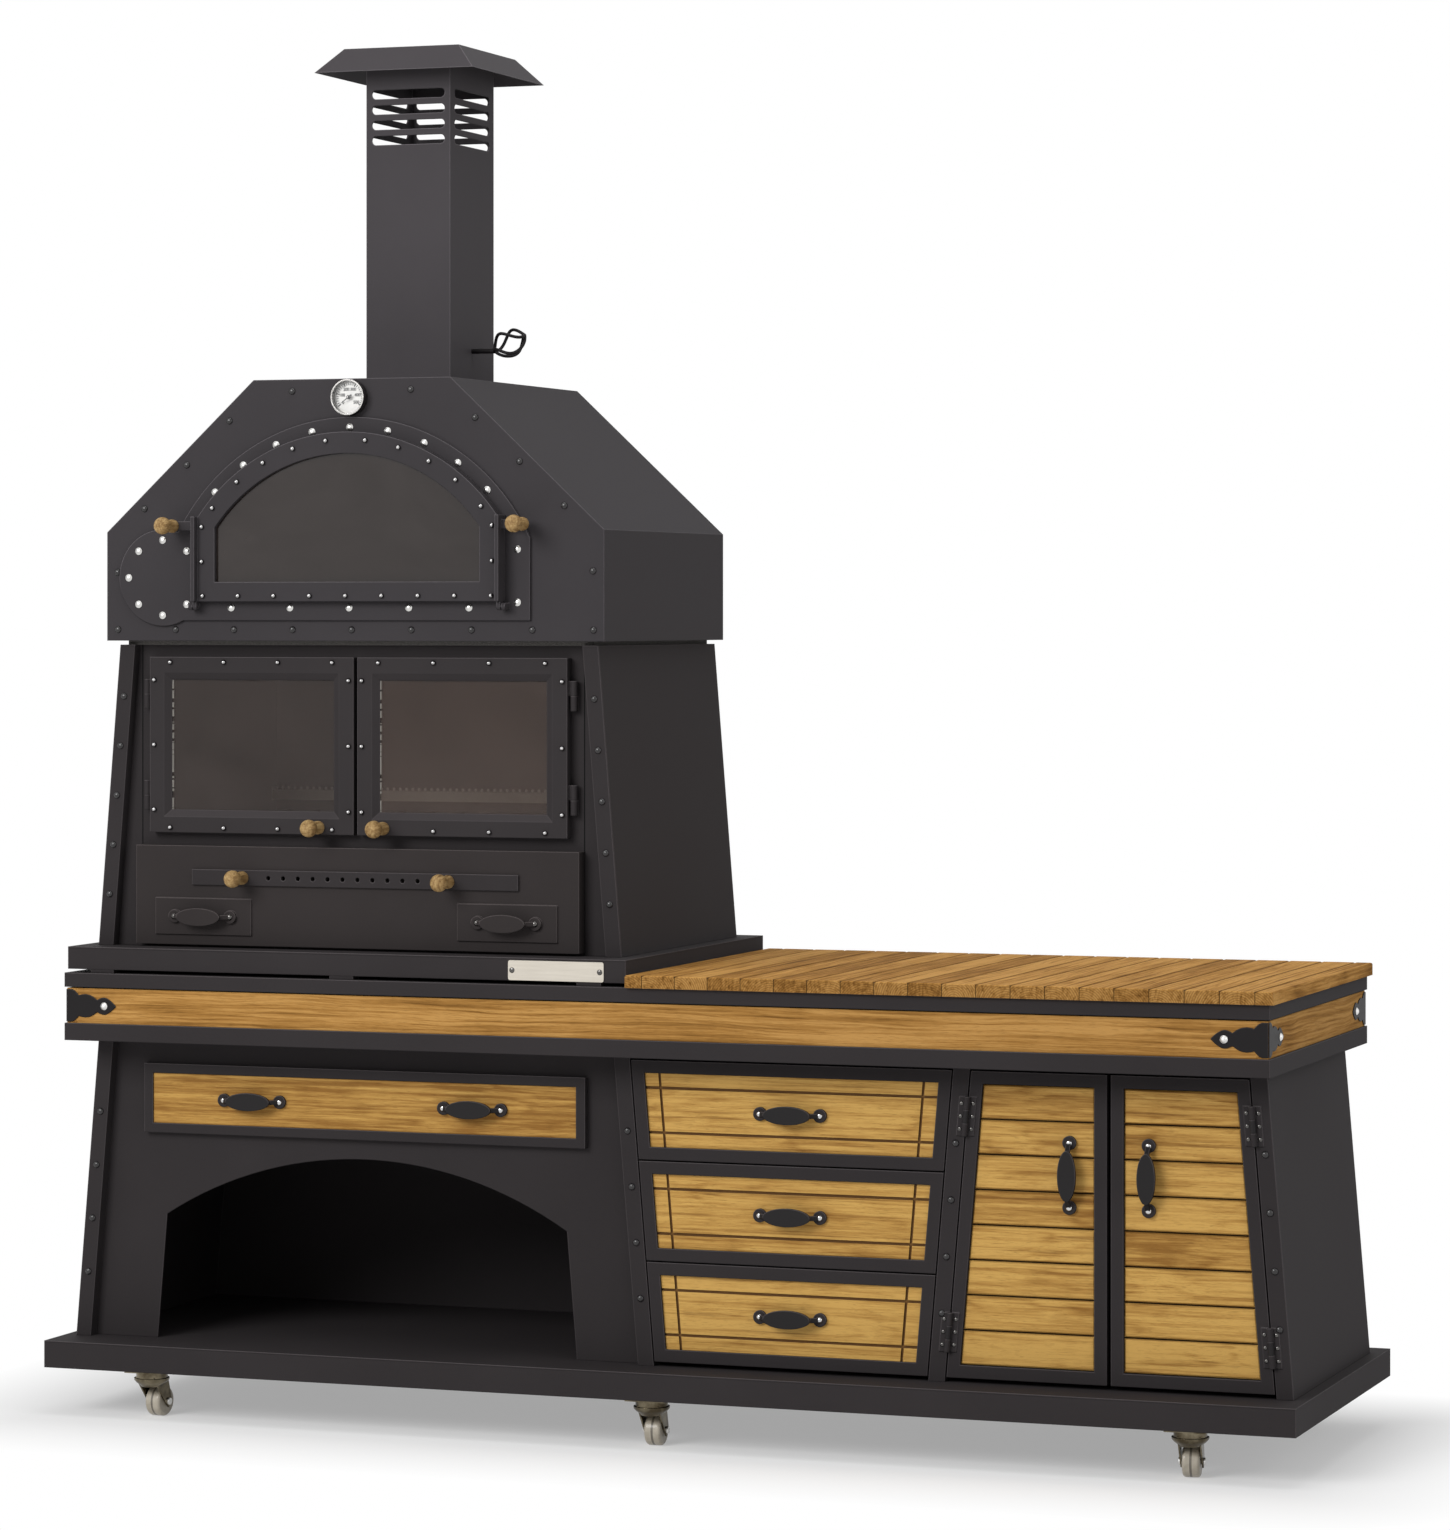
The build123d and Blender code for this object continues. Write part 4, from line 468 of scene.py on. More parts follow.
def smoked_glass(name, tint, cover, edge_x=None):
    """Soot film on glass; the seal's ends glint in a broken line beside edge_x."""
    pane = Finish(name)
    axes = pane.axes()
    soot = pane.noise(pane.point(axes[0] * 3.0, axes[1], axes[2] * 5.0), 1.0, 4.0, 0.6, 0.8)
    film = pane.clip(cover + 0.30 * (soot - 0.5))
    smear = 0.04 + 0.10 * soot
    warm = pane.mix(soot, tint, times(tint, 1.5))
    # The seal's glint is a painted highlight: a light broken line painted on the pane.
    if edge_x is not None:
        broken = pane.noise(pane.point(0.0, 0.0, axes[2]), 55.0, 3.0, 0.7) > 0.47
        glint = (abs(axes[0] - edge_x) < GLINT_HALF) * broken
        warm = pane.mix(glint, warm, (0.46, 0.44, 0.40))
        film = pane.sum("MAXIMUM", film, glint)
    return pane.paint(Base_Color=warm, Alpha=film, Roughness=smear, Specular_IOR_Level=0.5)


def clear_lens():
    lens = Finish("dial_glass")
    haze = lens.noise(lens.spot(), 90.0, 2.0)
    return lens.paint(Base_Color=(0.9, 0.92, 0.92), Alpha=0.015 + 0.02 * haze, Roughness=0.04 + 0.04 * haze,
                      Specular_IOR_Level=0.1)


dress(smoked_glass("oven_glass", OVEN_TINT, 0.94), "oven_door_glass")
for side, tint in FIRE_TINTS.items():
    seal_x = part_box(f"fire_door_{side}_glass")[0].x + SEAL_IN
    dress(smoked_glass(f"fire_glass_{side}", tint, 0.40, seal_x), f"fire_door_{side}_glass")
dress(clear_lens(), "thermometer_lens")
print("panes:", [m.name for m in bpy.data.materials if "glass" in m.name])

# %% [markdown]
# ## Iron, stone, plating, fibre and rubber
# The firebox is black iron with a paler air bar at the back. Its holes, placed by distance from the middles
# of a row, are painted as bright dots of light that shows through them. The oven has a heat-stained steel vault
# over a fired slab. Bright and bronzed metal share one plated finish, and the castors have cream tyres with a
# dark line round the middle. All of these follow the place on the piece, so no drawn map has to be fitted to
# it.


# %% Firebox iron and fired stone
WALL_DEEP = 26 * MM
BAR_FOOT = 36 * MM
BAR_TOP = 58 * MM
HOLE_ROW = 61 * MM
HOLE_STEP = 7 * MM
HOLE_RADIUS = 3.2 * MM


def iron_liner():
    iron = Finish("fire_iron")
    axes = iron.axes()
    low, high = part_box("firebox")
    scale = iron.noise(iron.spot(), 14.0, 6.0, 0.6)
    wall = axes[1] > high.y - WALL_DEEP
    bar = wall * (axes[2] > low.z + BAR_FOOT) * (axes[2] < low.z + BAR_TOP)
    row = axes[2] - (low.z + HOLE_ROW)
    step = iron.sum("PINGPONG", axes[0], HOLE_STEP)
    lit_hole = (step * step + row * row) < HOLE_RADIUS ** 2
    ash = iron.mix(iron.clip((scale - 0.40) * 3.0), (0.030, 0.027, 0.025), (0.075, 0.064, 0.054))
    ash = iron.mix(bar, ash, iron.mix(scale, (0.74, 0.64, 0.50), (0.86, 0.78, 0.64)))
    # The holes are painted bright: painted light that shows through them.
    ash = iron.mix(wall * lit_hole, ash, (0.85, 0.80, 0.70))
    return iron.paint(Base_Color=ash, Roughness=0.62 + 0.3 * (scale - 0.5))


def fired_stone():
    slab = Finish("fired_stone")
    grit = slab.noise(slab.spot(), 260.0, 3.0)
    burn = slab.noise(slab.spot(), 7.0, 5.0, 0.6)
    tone = slab.mix(slab.clip((burn - 0.42) * 3.0), (0.50, 0.42, 0.32), (0.22, 0.17, 0.13))
    tone = slab.mix(slab.clip((grit - 0.55) * 3.0), tone, (0.62, 0.55, 0.45))
    rough = 0.86 + 0.1 * (grit - 0.5)
    return slab.paint(Base_Color=tone, Roughness=rough, Normal=slab.bump(grit, 0.5 * MM))


dress(iron_liner(), "firebox")
dress(fired_stone(), "oven_floor")


# %% Plating and fibre
def plated(name, shade, stain, roughness, metal=1.0):
    plate = Finish(name)
    cloud = plate.noise(plate.spot(), 30.0, 4.0, 0.6)
    fine = plate.noise(plate.spot(), 900.0, 2.0)
    tone = plate.mix(plate.clip((cloud - 0.38) * 2.4), shade, stain)
    rough = roughness + 0.22 * (cloud - 0.5) + 0.08 * (fine - 0.5)
    skin = plate.bump(fine, 0.05 * MM, plate.rounded(0.8 * MM))
    return plate.paint(Base_Color=tone, Roughness=rough, Metallic=metal, Normal=skin)


def seal_fibre():
    rope = Finish("seal_fibre")
    axes = rope.axes()
    weave = rope.sum("SINE", (axes[0] + axes[1]) * 900.0) * rope.sum("SINE", axes[2] * 1400.0)
    fuzz = rope.noise(rope.spot(), 300.0, 4.0)
    tone = rope.mix(fuzz, (0.030, 0.028, 0.026), (0.16, 0.15, 0.14))
    skin = rope.bump(weave + fuzz, 0.6 * MM)
    return rope.paint(Base_Color=tone, Roughness=0.92 + 0.05 * weave, Normal=skin)


BRIGHT_STEEL = (0.80, 0.79, 0.77)
bright = plated("bright_steel", BRIGHT_STEEL, (0.66, 0.65, 0.63), 0.36)
zinc = plated("bronzed_zinc", (0.070, 0.055, 0.034), (0.30, 0.26, 0.18), 0.17)
dress(plated("oven_steel", (0.34, 0.31, 0.28), (0.16, 0.12, 0.10), 0.45), "oven_chamber")
dress(seal_fibre(), "hood_seal")
dress(plated("dial_case", (0.30, 0.29, 0.28), (0.19, 0.185, 0.18), 0.20), "thermometer_case")
dress(plated("needle_black", (0.02, 0.02, 0.02), (0.03, 0.03, 0.03), 0.4, 0.0), "thermometer_needle")
dress(zinc, "caster_plates")

# %% Castor wheels
CASTORS = range(1, 7)
TYRE_HALF = 18 * MM
MIDDLE_LINE_HALF = 2.2 * MM


def cream_tyre(name, middle, axle):
    """Cream tread with a dark line painted round its middle; the axle's ends are bright steel."""
    tread = Finish(name)
    x, y, z = tread.axes()
    out = abs((x - middle.x) * axle[0] + (y - middle.y) * axle[1] + (z - middle.z) * axle[2])
    cloud = tread.noise(tread.spot(), 70.0, 4.0)
    tone = tread.mix(cloud, (0.30, 0.26, 0.20), (0.56, 0.51, 0.42))
    tone = tread.mix((out < MIDDLE_LINE_HALF) * 0.75, tone, (0.05, 0.042, 0.033))
    steel = out > TYRE_HALF
    tone = tread.mix(steel, tone, BRIGHT_STEEL)
    rough = 0.28 + 0.3 * cloud
    skin = tread.bump(cloud, 0.4 * MM, tread.rounded(1.0 * MM))
    return tread.paint(Base_Color=tone, Roughness=rough, Metallic=steel, Normal=skin, Coat_Weight=0.3)


joints = frame["record"]["behaviour"]["joints"]
axles = {joint["child"]: joint["axis"] for joint in joints if joint["name"].endswith("_roll")}
for number in CASTORS:
    low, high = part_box(f"caster_wheel_{number}")
    tyre = cream_tyre(f"cream_tyre_{number}", (low + high) / 2, axles[f"castor_wheel_{number}"])
    dress(zinc, f"caster_fork_{number}")
    dress(tyre, f"caster_wheel_{number}")
print("finishes:", len(bpy.data.materials))

# %% [markdown]
# ## Heads of rivets, studs and screws
# Domed heads are turned on a lathe or cold-formed. Here a sphere is cut in half and pressed flatter, and where
# a washer belongs to it, its rim is stepped out. One head of each kind is modelled at the origin, facing the
# front, and copied to every place, so the pattern of holes is what the code is about. Instances would be
# lighter, but the copies of one piece are joined, so that it can ride on a door or a drawer.


# %% Finish of a head with a painted highlight on its tip
def tipped(name, foot, tip, tip_y, roughness):
    """Plated head whose tip, before the plane y = tip_y, is painted bright and metallic as a painted highlight;
    the foot stays dark.
    """
    head = Finish(name)
    tip_speckle = head.noise(head.spot(), 700.0, 2.0)
    before = head.axes()[1] < tip_y
    tone = head.mix(before, foot, head.mix(tip_speckle, tip, times(tip, 0.8)))
    return head.paint(Base_Color=tone, Roughness=roughness + 0.1 * (tip_speckle - 0.5), Metallic=before)


# %% Model one head of each kind
WASHER_WIDER = 1.25


def face_outwards():
    """Turn every face of the piece in edit mode outwards, and leave edit mode."""
    bpy.ops.mesh.select_all(action="SELECT")
    bpy.ops.mesh.normals_make_consistent(inside=False)
    bpy.ops.object.mode_set(mode="OBJECT")


def domed_head(name, radius, rise, washer=0.0):
    upright = (math.pi / 2, 0, 0)
    bpy.ops.object.select_all(action="DESELECT")
    bpy.ops.mesh.primitive_uv_sphere_add(segments=16, ring_count=10, radius=radius, rotation=upright)
    head = bpy.context.object
    head.name = name
    bpy.ops.object.transform_apply(rotation=True)
    bpy.ops.object.mode_set(mode="EDIT")
    bpy.ops.mesh.select_all(action="SELECT")
    bpy.ops.mesh.bisect(plane_co=(0, 0, 0), plane_no=(0, 1, 0), clear_outer=True, use_fill=True)
    bpy.ops.mesh.select_all(action="SELECT")
    bpy.ops.transform.resize(value=(1, rise / radius, 1), center_override=(0, 0, 0))
    if washer:
        bpy.ops.transform.translate(value=(0, -washer, 0))
        bpy.ops.mesh.select_all(action="DESELECT")
        bpy.ops.object.mode_set(mode="OBJECT")
        for face in head.data.polygons:
            face.select = face.normal.y > 0.9
        bpy.ops.object.mode_set(mode="EDIT")
        bpy.ops.mesh.select_mode(type="FACE")
        bpy.ops.transform.resize(value=(WASHER_WIDER, 1, WASHER_WIDER), center_override=(0, 0, 0))
        bpy.ops.mesh.extrude_region_move(TRANSFORM_OT_translate={"value": (0, washer, 0)})
    face_outwards()
    bpy.ops.object.shade_smooth_by_angle(angle=math.radians(50))
    return head


chrome = plated("chrome_head", (0.60, 0.60, 0.60), (0.42, 0.42, 0.42), 0.14)
black_chrome = plated("black_bolt", (0.115, 0.110, 0.105), (0.075, 0.072, 0.070), 0.14)
rivet_coat = plated("rivet_coat", (0.016, 0.0145, 0.015), (0.022, 0.020, 0.021), 0.20, 0.0)
rivet = domed_head("coated_rivet", 7.0 * MM, 4.8 * MM)
stud = domed_head("bright_stud", 6.0 * MM, 3.2 * MM, 1.2 * MM)
strap_stud = domed_head("strap_stud", 6.0 * MM, 4.0 * MM, 1.2 * MM)
bolt = domed_head("door_bolt", 3.8 * MM, 3.2 * MM, 4.0 * MM)
screw = domed_head("pull_screw", 6.4 * MM, 4.4 * MM)
small_screw = domed_head("hinge_screw", 4.0 * MM, 1.6 * MM)
blank_rivet = domed_head("blank_rivet", 5.6 * MM, 2.2 * MM)
heads = (rivet, stud, strap_stud, bolt, screw, small_screw, blank_rivet)
print("heads:", [head.name for head in heads])

# %% Copy heads to their places
FRONT = Vector((0, -1, 0))


def own_copy(piece, matrix):
    """Copy of a piece that has its own mesh, moved by a matrix."""
    copy = piece.copy()
    copy.data = piece.data.copy()
    copy.data.transform(matrix)
    bpy.context.collection.objects.link(copy)
    return copy


def set_heads(head, name, body, material, places, facing=FRONT):
    """Copy a head to each place, and join the copies into one piece that rides on a body."""
    turn = FRONT.rotation_difference(Vector(facing)).to_matrix().to_4x4()
    bpy.ops.object.select_all(action="DESELECT")
    for place in places:
        copy = own_copy(head, Matrix.Translation(place) @ turn)
        copy.select_set(True)
        bpy.context.view_layer.objects.active = copy
    bpy.ops.object.join()
    piece = bpy.context.object
    piece.name = name
    piece.data.materials.clear()
    piece.data.materials.append(material)
    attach(piece, body)


def spread(first, last, count):
    """Evenly spaced numbers from first to last."""
    return [first + (last - first) * i / (count - 1) for i in range(count)]


def on_arc(x, y, z, radius, degrees):
    """Points on an upright circle, at angles from its top."""
    turns = [math.radians(d) for d in degrees]
    return [Vector((x + radius * math.sin(t), y, z + radius * math.cos(t))) for t in turns]


# %% Rivets of the hood
FOOT_ROW = 22 * MM
FOOT_ROW_ENDS = (24 * MM, 22 * MM)
SHOULDER = (23 * MM, 135 * MM)
SLOPE_FOOT = (82 * MM, 260 * MM)
BROW = 209 * MM
SLOPE_TOP = (52 * MM, 79 * MM)
TOP_ROW = (126 * MM, 23 * MM)
hood_y = hood_low.y
hood_half = (hood_high.x - hood_low.x) / 2
foot_row = spread(hood_low.x + FOOT_ROW_ENDS[0], hood_high.x - FOOT_ROW_ENDS[1], 9)
hood_rivets = [Vector((x, hood_y, hood_low.z + FOOT_ROW)) for x in foot_row]
for side in (-1, 1):
    shoulder_x = oven_x + side * (hood_half - SHOULDER[0])
    hood_rivets.append(Vector((shoulder_x, hood_y, hood_low.z + SHOULDER[1])))
    foot = Vector((oven_x + side * (hood_half - SLOPE_FOOT[0]), hood_y, hood_low.z + SLOPE_FOOT[1]))
    top = Vector((oven_x + side * (BROW + SLOPE_TOP[0]), hood_y, hood_high.z - SLOPE_TOP[1]))
    hood_rivets += [foot.lerp(top, share) for share in (0.0, 0.5, 1.0)]
    hood_rivets.append(Vector((oven_x + side * TOP_ROW[0], hood_y, hood_high.z - TOP_ROW[1])))
set_heads(rivet, "hood_rivets", "kitchen", rivet_coat, hood_rivets)
print("hood rivets:", len(hood_rivets))

# %% Studs of the oven surround
SURROUND_OUT = 6 * MM
VAULT_UP = 16 * MM
ARCH_RADIUS = 399 * MM
ARCH_STEP = 11.6
STUD_ROW = (65 * MM, -254 * MM, 251 * MM)
STUD_POST = 352 * MM
STUD_TIP = 1.3 * MM
LOBE_RADIUS = 74 * MM
LOBE_X = oven_x - 403 * MM
LOBE_Z = hood_low.z + 124 * MM
surround_y = hood_y - SURROUND_OUT
vault_z = hood_low.z + VAULT_UP
studs = on_arc(oven_x, surround_y, vault_z, ARCH_RADIUS, [ARCH_STEP * i for i in range(-4, 5)])
studs += [Vector((oven_x + x, surround_y, hood_low.z + STUD_ROW[0])) for x in spread(*STUD_ROW[1:], 5)]
studs += [Vector((oven_x + STUD_POST, surround_y, hood_low.z + z * MM)) for z in (75, 177)]
studs += on_arc(LOBE_X, surround_y, LOBE_Z, LOBE_RADIUS, [45 * i for i in range(8)])
stud_steel = tipped("stud_steel", (0.012, 0.011, 0.011), (0.74, 0.73, 0.71), surround_y - STUD_TIP, 0.28)
set_heads(stud, "surround_studs", "kitchen", stud_steel, studs)
print("surround studs:", len(studs))

# %% Bolts of the oven door
GLASS_BACK = 9 * MM
BOLT_TIP_OUT = 5.0 * MM
BOLT_FOOT = (0.014, 0.013, 0.013)
BOLT_TIP = (0.46, 0.45, 0.45)
BOLT_ARC = 375
BOLT_ARC_X = (42, 112, 176, 232, 285)
BOLT_ROW = (88 * MM, 306 * MM)
BOLT_POST = 308 * MM
door_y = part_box("oven_door_glass")[0].y - GLASS_BACK
arc_x = [-x for x in reversed(BOLT_ARC_X)] + list(BOLT_ARC_X)
arc_turns = [math.degrees(math.asin(x / BOLT_ARC)) for x in arc_x]
bolts = on_arc(oven_x, door_y, vault_z, BOLT_ARC * MM, arc_turns)
bolts += [Vector((oven_x + x, door_y, hood_low.z + BOLT_ROW[0])) for x in spread(-BOLT_ROW[1], BOLT_ROW[1], 9)]
for side in (-1, 1):
    bolts += [Vector((oven_x + side * BOLT_POST, door_y, hood_low.z + z * MM)) for z in (155, 223)]
bolt_steel = tipped("oven_bolt_steel", BOLT_FOOT, BOLT_TIP, door_y - BOLT_TIP_OUT, 0.20)
set_heads(bolt, "oven_door_bolts", "oven_door", bolt_steel, bolts)
print("oven door bolts:", len(bolts))

# %% Bolts of the two fire doors
FRAME_WIDE = 36 * MM
BOLT_IN = 10 * MM
BOLT_FROM_END = 45 * MM
for name in ("left", "right"):
    low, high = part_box(f"fire_door_{name}_glass")
    near = low - Vector((FRAME_WIDE, 0, FRAME_WIDE))
    far = high + Vector((FRAME_WIDE, 0, FRAME_WIDE))
    y = low.y - GLASS_BACK
    along = spread(near.x + BOLT_FROM_END, far.x - BOLT_FROM_END, 4)
    upward = spread(near.z + BOLT_FROM_END, far.z - BOLT_FROM_END, 3)
    rows = [Vector((x, y, z)) for z in (near.z + BOLT_IN, far.z - BOLT_IN) for x in along]
    rows += [Vector((x, y, z)) for x in (near.x + BOLT_IN, far.x - BOLT_IN) for z in upward]
    bolt_steel = tipped(f"fire_{name}_bolt_steel", BOLT_FOOT, BOLT_TIP, y - BOLT_TIP_OUT, 0.20)
    set_heads(bolt, f"fire_door_{name}_bolts", f"fire_door_{name}", bolt_steel, rows)
print("bolts of a fire door:", len(rows))

# %% Rivets of the battered corner strips
STRIP_OUT = 3 * MM
STRIP_MIDDLE = 16 * MM
STAND_LEAN = 48 * MM
BASE_LEAN = 50 * MM
RIGHT_UNIT_FOOT = 700 * MM
LEFT_UNIT_FOOT = 1230 * MM
STAND_ROW = (101 * MM, 493 * MM)
BASE_ROW = (128 * MM, 447 * MM)
stand_low, stand_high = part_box("stand_panels")
base_low, base_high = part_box("base_panels")
base_strip_y = base_low.y - STRIP_OUT


def strip_rivets(name, x_top, x_foot, low, high, heights):
    """Rivets down a strip of the stand or base that leans from its foot to its top."""
    slope = (x_foot - x_top) / (high.z - low.z)
    places = [Vector((x_top + slope * (high.z - z), low.y - STRIP_OUT, z)) for z in heights]
    set_heads(rivet, name, "kitchen", rivet_coat, places)


stand_half = (stand_high.x - stand_low.x) / 2
stand_heights = spread(stand_low.z + STAND_ROW[0], stand_low.z + STAND_ROW[1], 5)
for side, name in ((-1, "left"), (1, "right")):
    foot = oven_x + side * (stand_half - STRIP_MIDDLE)
    strip_rivets(f"stand_rivets_{name}", foot - side * STAND_LEAN, foot, stand_low, stand_high, stand_heights)
base_heights = spread(base_low.z + BASE_ROW[0], base_low.z + BASE_ROW[1], 4)
strip_feet = {"left_outer": (base_low.x, 1), "left_inner": (base_low.x + LEFT_UNIT_FOOT, -1),
              "right_inner": (base_high.x - RIGHT_UNIT_FOOT, 1), "right_outer": (base_high.x, -1)}
for name, (x, inward) in strip_feet.items():
    foot = x + inward * STRIP_MIDDLE
    strip_rivets(f"base_rivets_{name}", foot + inward * BASE_LEAN, foot, base_low, base_high, base_heights)
print("strips:", 2 + len(strip_feet))

# %% Screws of the pulls
ROSE = 60 * MM
ROSE_OUT = 6 * MM
LOG_PULL = 235 * MM
DOOR_PULL = 76 * MM
DOOR_PULL_UP = 98.8 * MM
ASH_PULL = 323 * MM
ASH_PULL_UP = 61 * MM
ASH_GRIP_OUT = 26 * MM


def pull_screws(name, body, centres, material, upright=False):
    """A screw in each rose of pulls that lie across a drawer or stand upright on a door."""
    reach = Vector((0, 0, ROSE)) if upright else Vector((ROSE, 0, 0))
    places = [c + s * reach - Vector((0, ROSE_OUT, 0)) for c in centres for s in (-1, 1)]
    set_heads(screw, name, body, material, places)


low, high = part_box("log_drawer_panel")
middle = (low + high) / 2
pulls = [Vector((middle.x + s * LOG_PULL, low.y, middle.z)) for s in (-1, 1)]
pull_screws("log_drawer_screws", "log_drawer", pulls, chrome)
for number in (1, 2, 3):
    low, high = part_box(f"drawer_{number}_panel")
    middle = (low + high) / 2
    pulls = [Vector((middle.x, low.y, middle.z))]
    pull_screws(f"drawer_{number}_screws", f"drawer_{number}", pulls, chrome)
door_x = (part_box("left_door_frame")[1].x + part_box("right_door_frame")[0].x) / 2
for side, name in ((-1, "left"), (1, "right")):
    low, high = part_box(f"{name}_door_slats")
    pulls = [Vector((door_x + side * DOOR_PULL, low.y, (low.z + high.z) / 2 + DOOR_PULL_UP))]
    pull_screws(f"{name}_door_screws", f"cupboard_door_{name}", pulls, chrome, True)
ash_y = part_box("ash_drawer")[0].y + ASH_GRIP_OUT
pulls = [Vector((oven_x + s * ASH_PULL, ash_y, stand_low.z + ASH_PULL_UP)) for s in (-1, 1)]
pull_screws("ash_drawer_screws", "ash_drawer", pulls, black_chrome)

# %% Screws of the cupboard hinges
LEAF_OUT = 2 * MM
HINGE_FROM_FOOT = 94 * MM
HINGE_FROM_TOP = 97 * MM
HINGE_REACH = 24 * MM
PIN_IN = 33.5 * MM
LEAF_MIDDLE = 11.4 * MM


def hinge_screws(name, foot, inward):
    """Three screws in each leaf of the two hinges that stand along a battered edge."""
    leaf_y = base_strip_y - LEAF_OUT
    on_post, on_door = [], []
    for middle in (base_low.z + HINGE_FROM_FOOT, base_high.z - HINGE_FROM_TOP):
        for z in spread(middle - HINGE_REACH, middle + HINGE_REACH, 3):
            share = (z - base_low.z) / (base_high.z - base_low.z)
            pin = foot + inward * (BASE_LEAN * share + PIN_IN)
            on_post.append(Vector((pin - inward * LEAF_MIDDLE, leaf_y, z)))
            on_door.append(Vector((pin + inward * LEAF_MIDDLE, leaf_y, z)))
    set_heads(small_screw, f"{name}_post_screws", "kitchen", black_chrome, on_post)
    set_heads(small_screw, f"{name}_leaf_screws", f"cupboard_door_{name}", black_chrome, on_door)
    print(name, "hinge screws:", len(on_post) + len(on_door))


hinge_screws("left", *strip_feet["right_inner"])
hinge_screws("right", *strip_feet["right_outer"])

# %% [markdown]
# ## Corner straps on the wooden band
# Forged spade-ended straps hold the band's corners. An outline could be drawn as a curve and filled, but each
# leg is drawn as a smith would draw it out: a plate at the corner, its end extruded to a neck, swelled to a
# ring for the stud, and drawn to a point. Every step is one width of the real strap. Solidify gives the
# thickness, and a bevel takes the sharpness off.


# %% Draw out one leg of a strap
STRAP_STEPS = ((11, 32), (17, 29.5), (22, 25), (26, 20.5), (31, 22), (40, 23), (50, 21.5), (58, 18), (64, 13.5),
               (67, 12), (71, 14.5), (77, 16.5), (82, 17), (88, 15.5), (94, 12), (100, 7.5), (107, 1))
STRAP_T = 2.2 * MM
STRAP_SOFT = 0.6 * MM
STRAP_RING = 82 * MM
SLACK = 1e-6


def pick_edges(piece, wanted):
    """Enter edit mode with those edges selected whose two ends pass a test."""
    bpy.ops.object.mode_set(mode="EDIT")
    bpy.ops.mesh.select_mode(type="EDGE")
    bpy.ops.mesh.select_all(action="DESELECT")
    bpy.ops.object.mode_set(mode="OBJECT")
    for edge in piece.data.edges:
        edge.select = wanted(*[piece.data.vertices[v].co for v in edge.vertices])
    bpy.ops.object.mode_set(mode="EDIT")


def strap_leg(name, corner, direction, normal):
    """Flat leg that starts at a corner and runs along a direction. Returns the place of its stud."""
    first, half = (step * MM for step in STRAP_STEPS[0])
    bpy.ops.object.select_all(action="DESELECT")
    bpy.ops.mesh.primitive_plane_add(size=1.0)
    leg = bpy.context.object
    leg.name = name
    leg.data.transform(Matrix.Translation((first / 2, 0, 0)) @ Matrix.Diagonal((first, 2 * half, 1, 1)))
    pick_edges(leg, lambda a, b: min(a.x, b.x) > first - SLACK)
    for (x0, w0), (x1, w1) in zip(STRAP_STEPS, STRAP_STEPS[1:]):
        bpy.ops.mesh.extrude_region_move(TRANSFORM_OT_translate={"value": ((x1 - x0) * MM, 0, 0)})
        bpy.ops.transform.resize(value=(1, w1 / w0, 1), center_override=(x1 * MM, 0, 0))
    bpy.ops.object.mode_set(mode="OBJECT")
    up = Vector((0, 0, 1))
    turn = Matrix((direction, up, normal)).transposed()
    if turn.determinant() < 0:
        turn = Matrix((direction, -up, normal)).transposed()
    leg.data.transform(Matrix.Translation(corner) @ turn.to_4x4())
    thick = leg.modifiers.new("thickness", "SOLIDIFY")
    thick.thickness = STRAP_T
    thick.offset = 1.0
    soft = leg.modifiers.new("softened", "BEVEL")
    soft.width = STRAP_SOFT
    soft.segments = 2
    for modifier in ("thickness", "softened"):
        bpy.ops.object.modifier_apply(modifier=modifier)
    bpy.ops.object.mode_set(mode="EDIT")
    face_outwards()
    leg.data.materials.append(iron_black)
    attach(leg, "kitchen")
    return corner + direction * STRAP_RING + normal * STRAP_T


# %% Fit the straps at the four corners
band_low, band_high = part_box("band_boards")
band_z = (band_low.z + band_high.z) / 2
strap_rings = {}
for sx, x, end in ((-1, band_low.x, "left"), (1, band_high.x, "right")):
    for sy, y, side in ((-1, band_low.y, "front"), (1, band_high.y, "back")):
        for way, direction, normal in (("long", Vector((-sx, 0, 0)), Vector((0, sy, 0))),
                                       ("short", Vector((0, -sy, 0)), Vector((sx, 0, 0)))):
            ring = strap_leg(f"corner_strap_{end}_{side}_{way}", Vector((x, y, band_z)), direction, normal)
            strap_rings.setdefault(tuple(normal), []).append(ring)
for normal, rings in strap_rings.items():
    way = "xyz"[max(range(3), key=lambda i: abs(normal[i]))] + ("_plus" if sum(normal) > 0 else "_minus")
    set_heads(strap_stud, f"strap_studs_{way}", "kitchen", bright, rings, normal)

# %% [markdown]
# ## Bells of the castors
# Under its plate each castor has a pressed bell that holds the balls of the swivel and runs into the fork. A
# profile could be spun round the swivel, but here a disc is extruded downwards ring by ring, as a press would
# draw it, because each ring is then one line of radius and height. The bell is copied to the six castors.

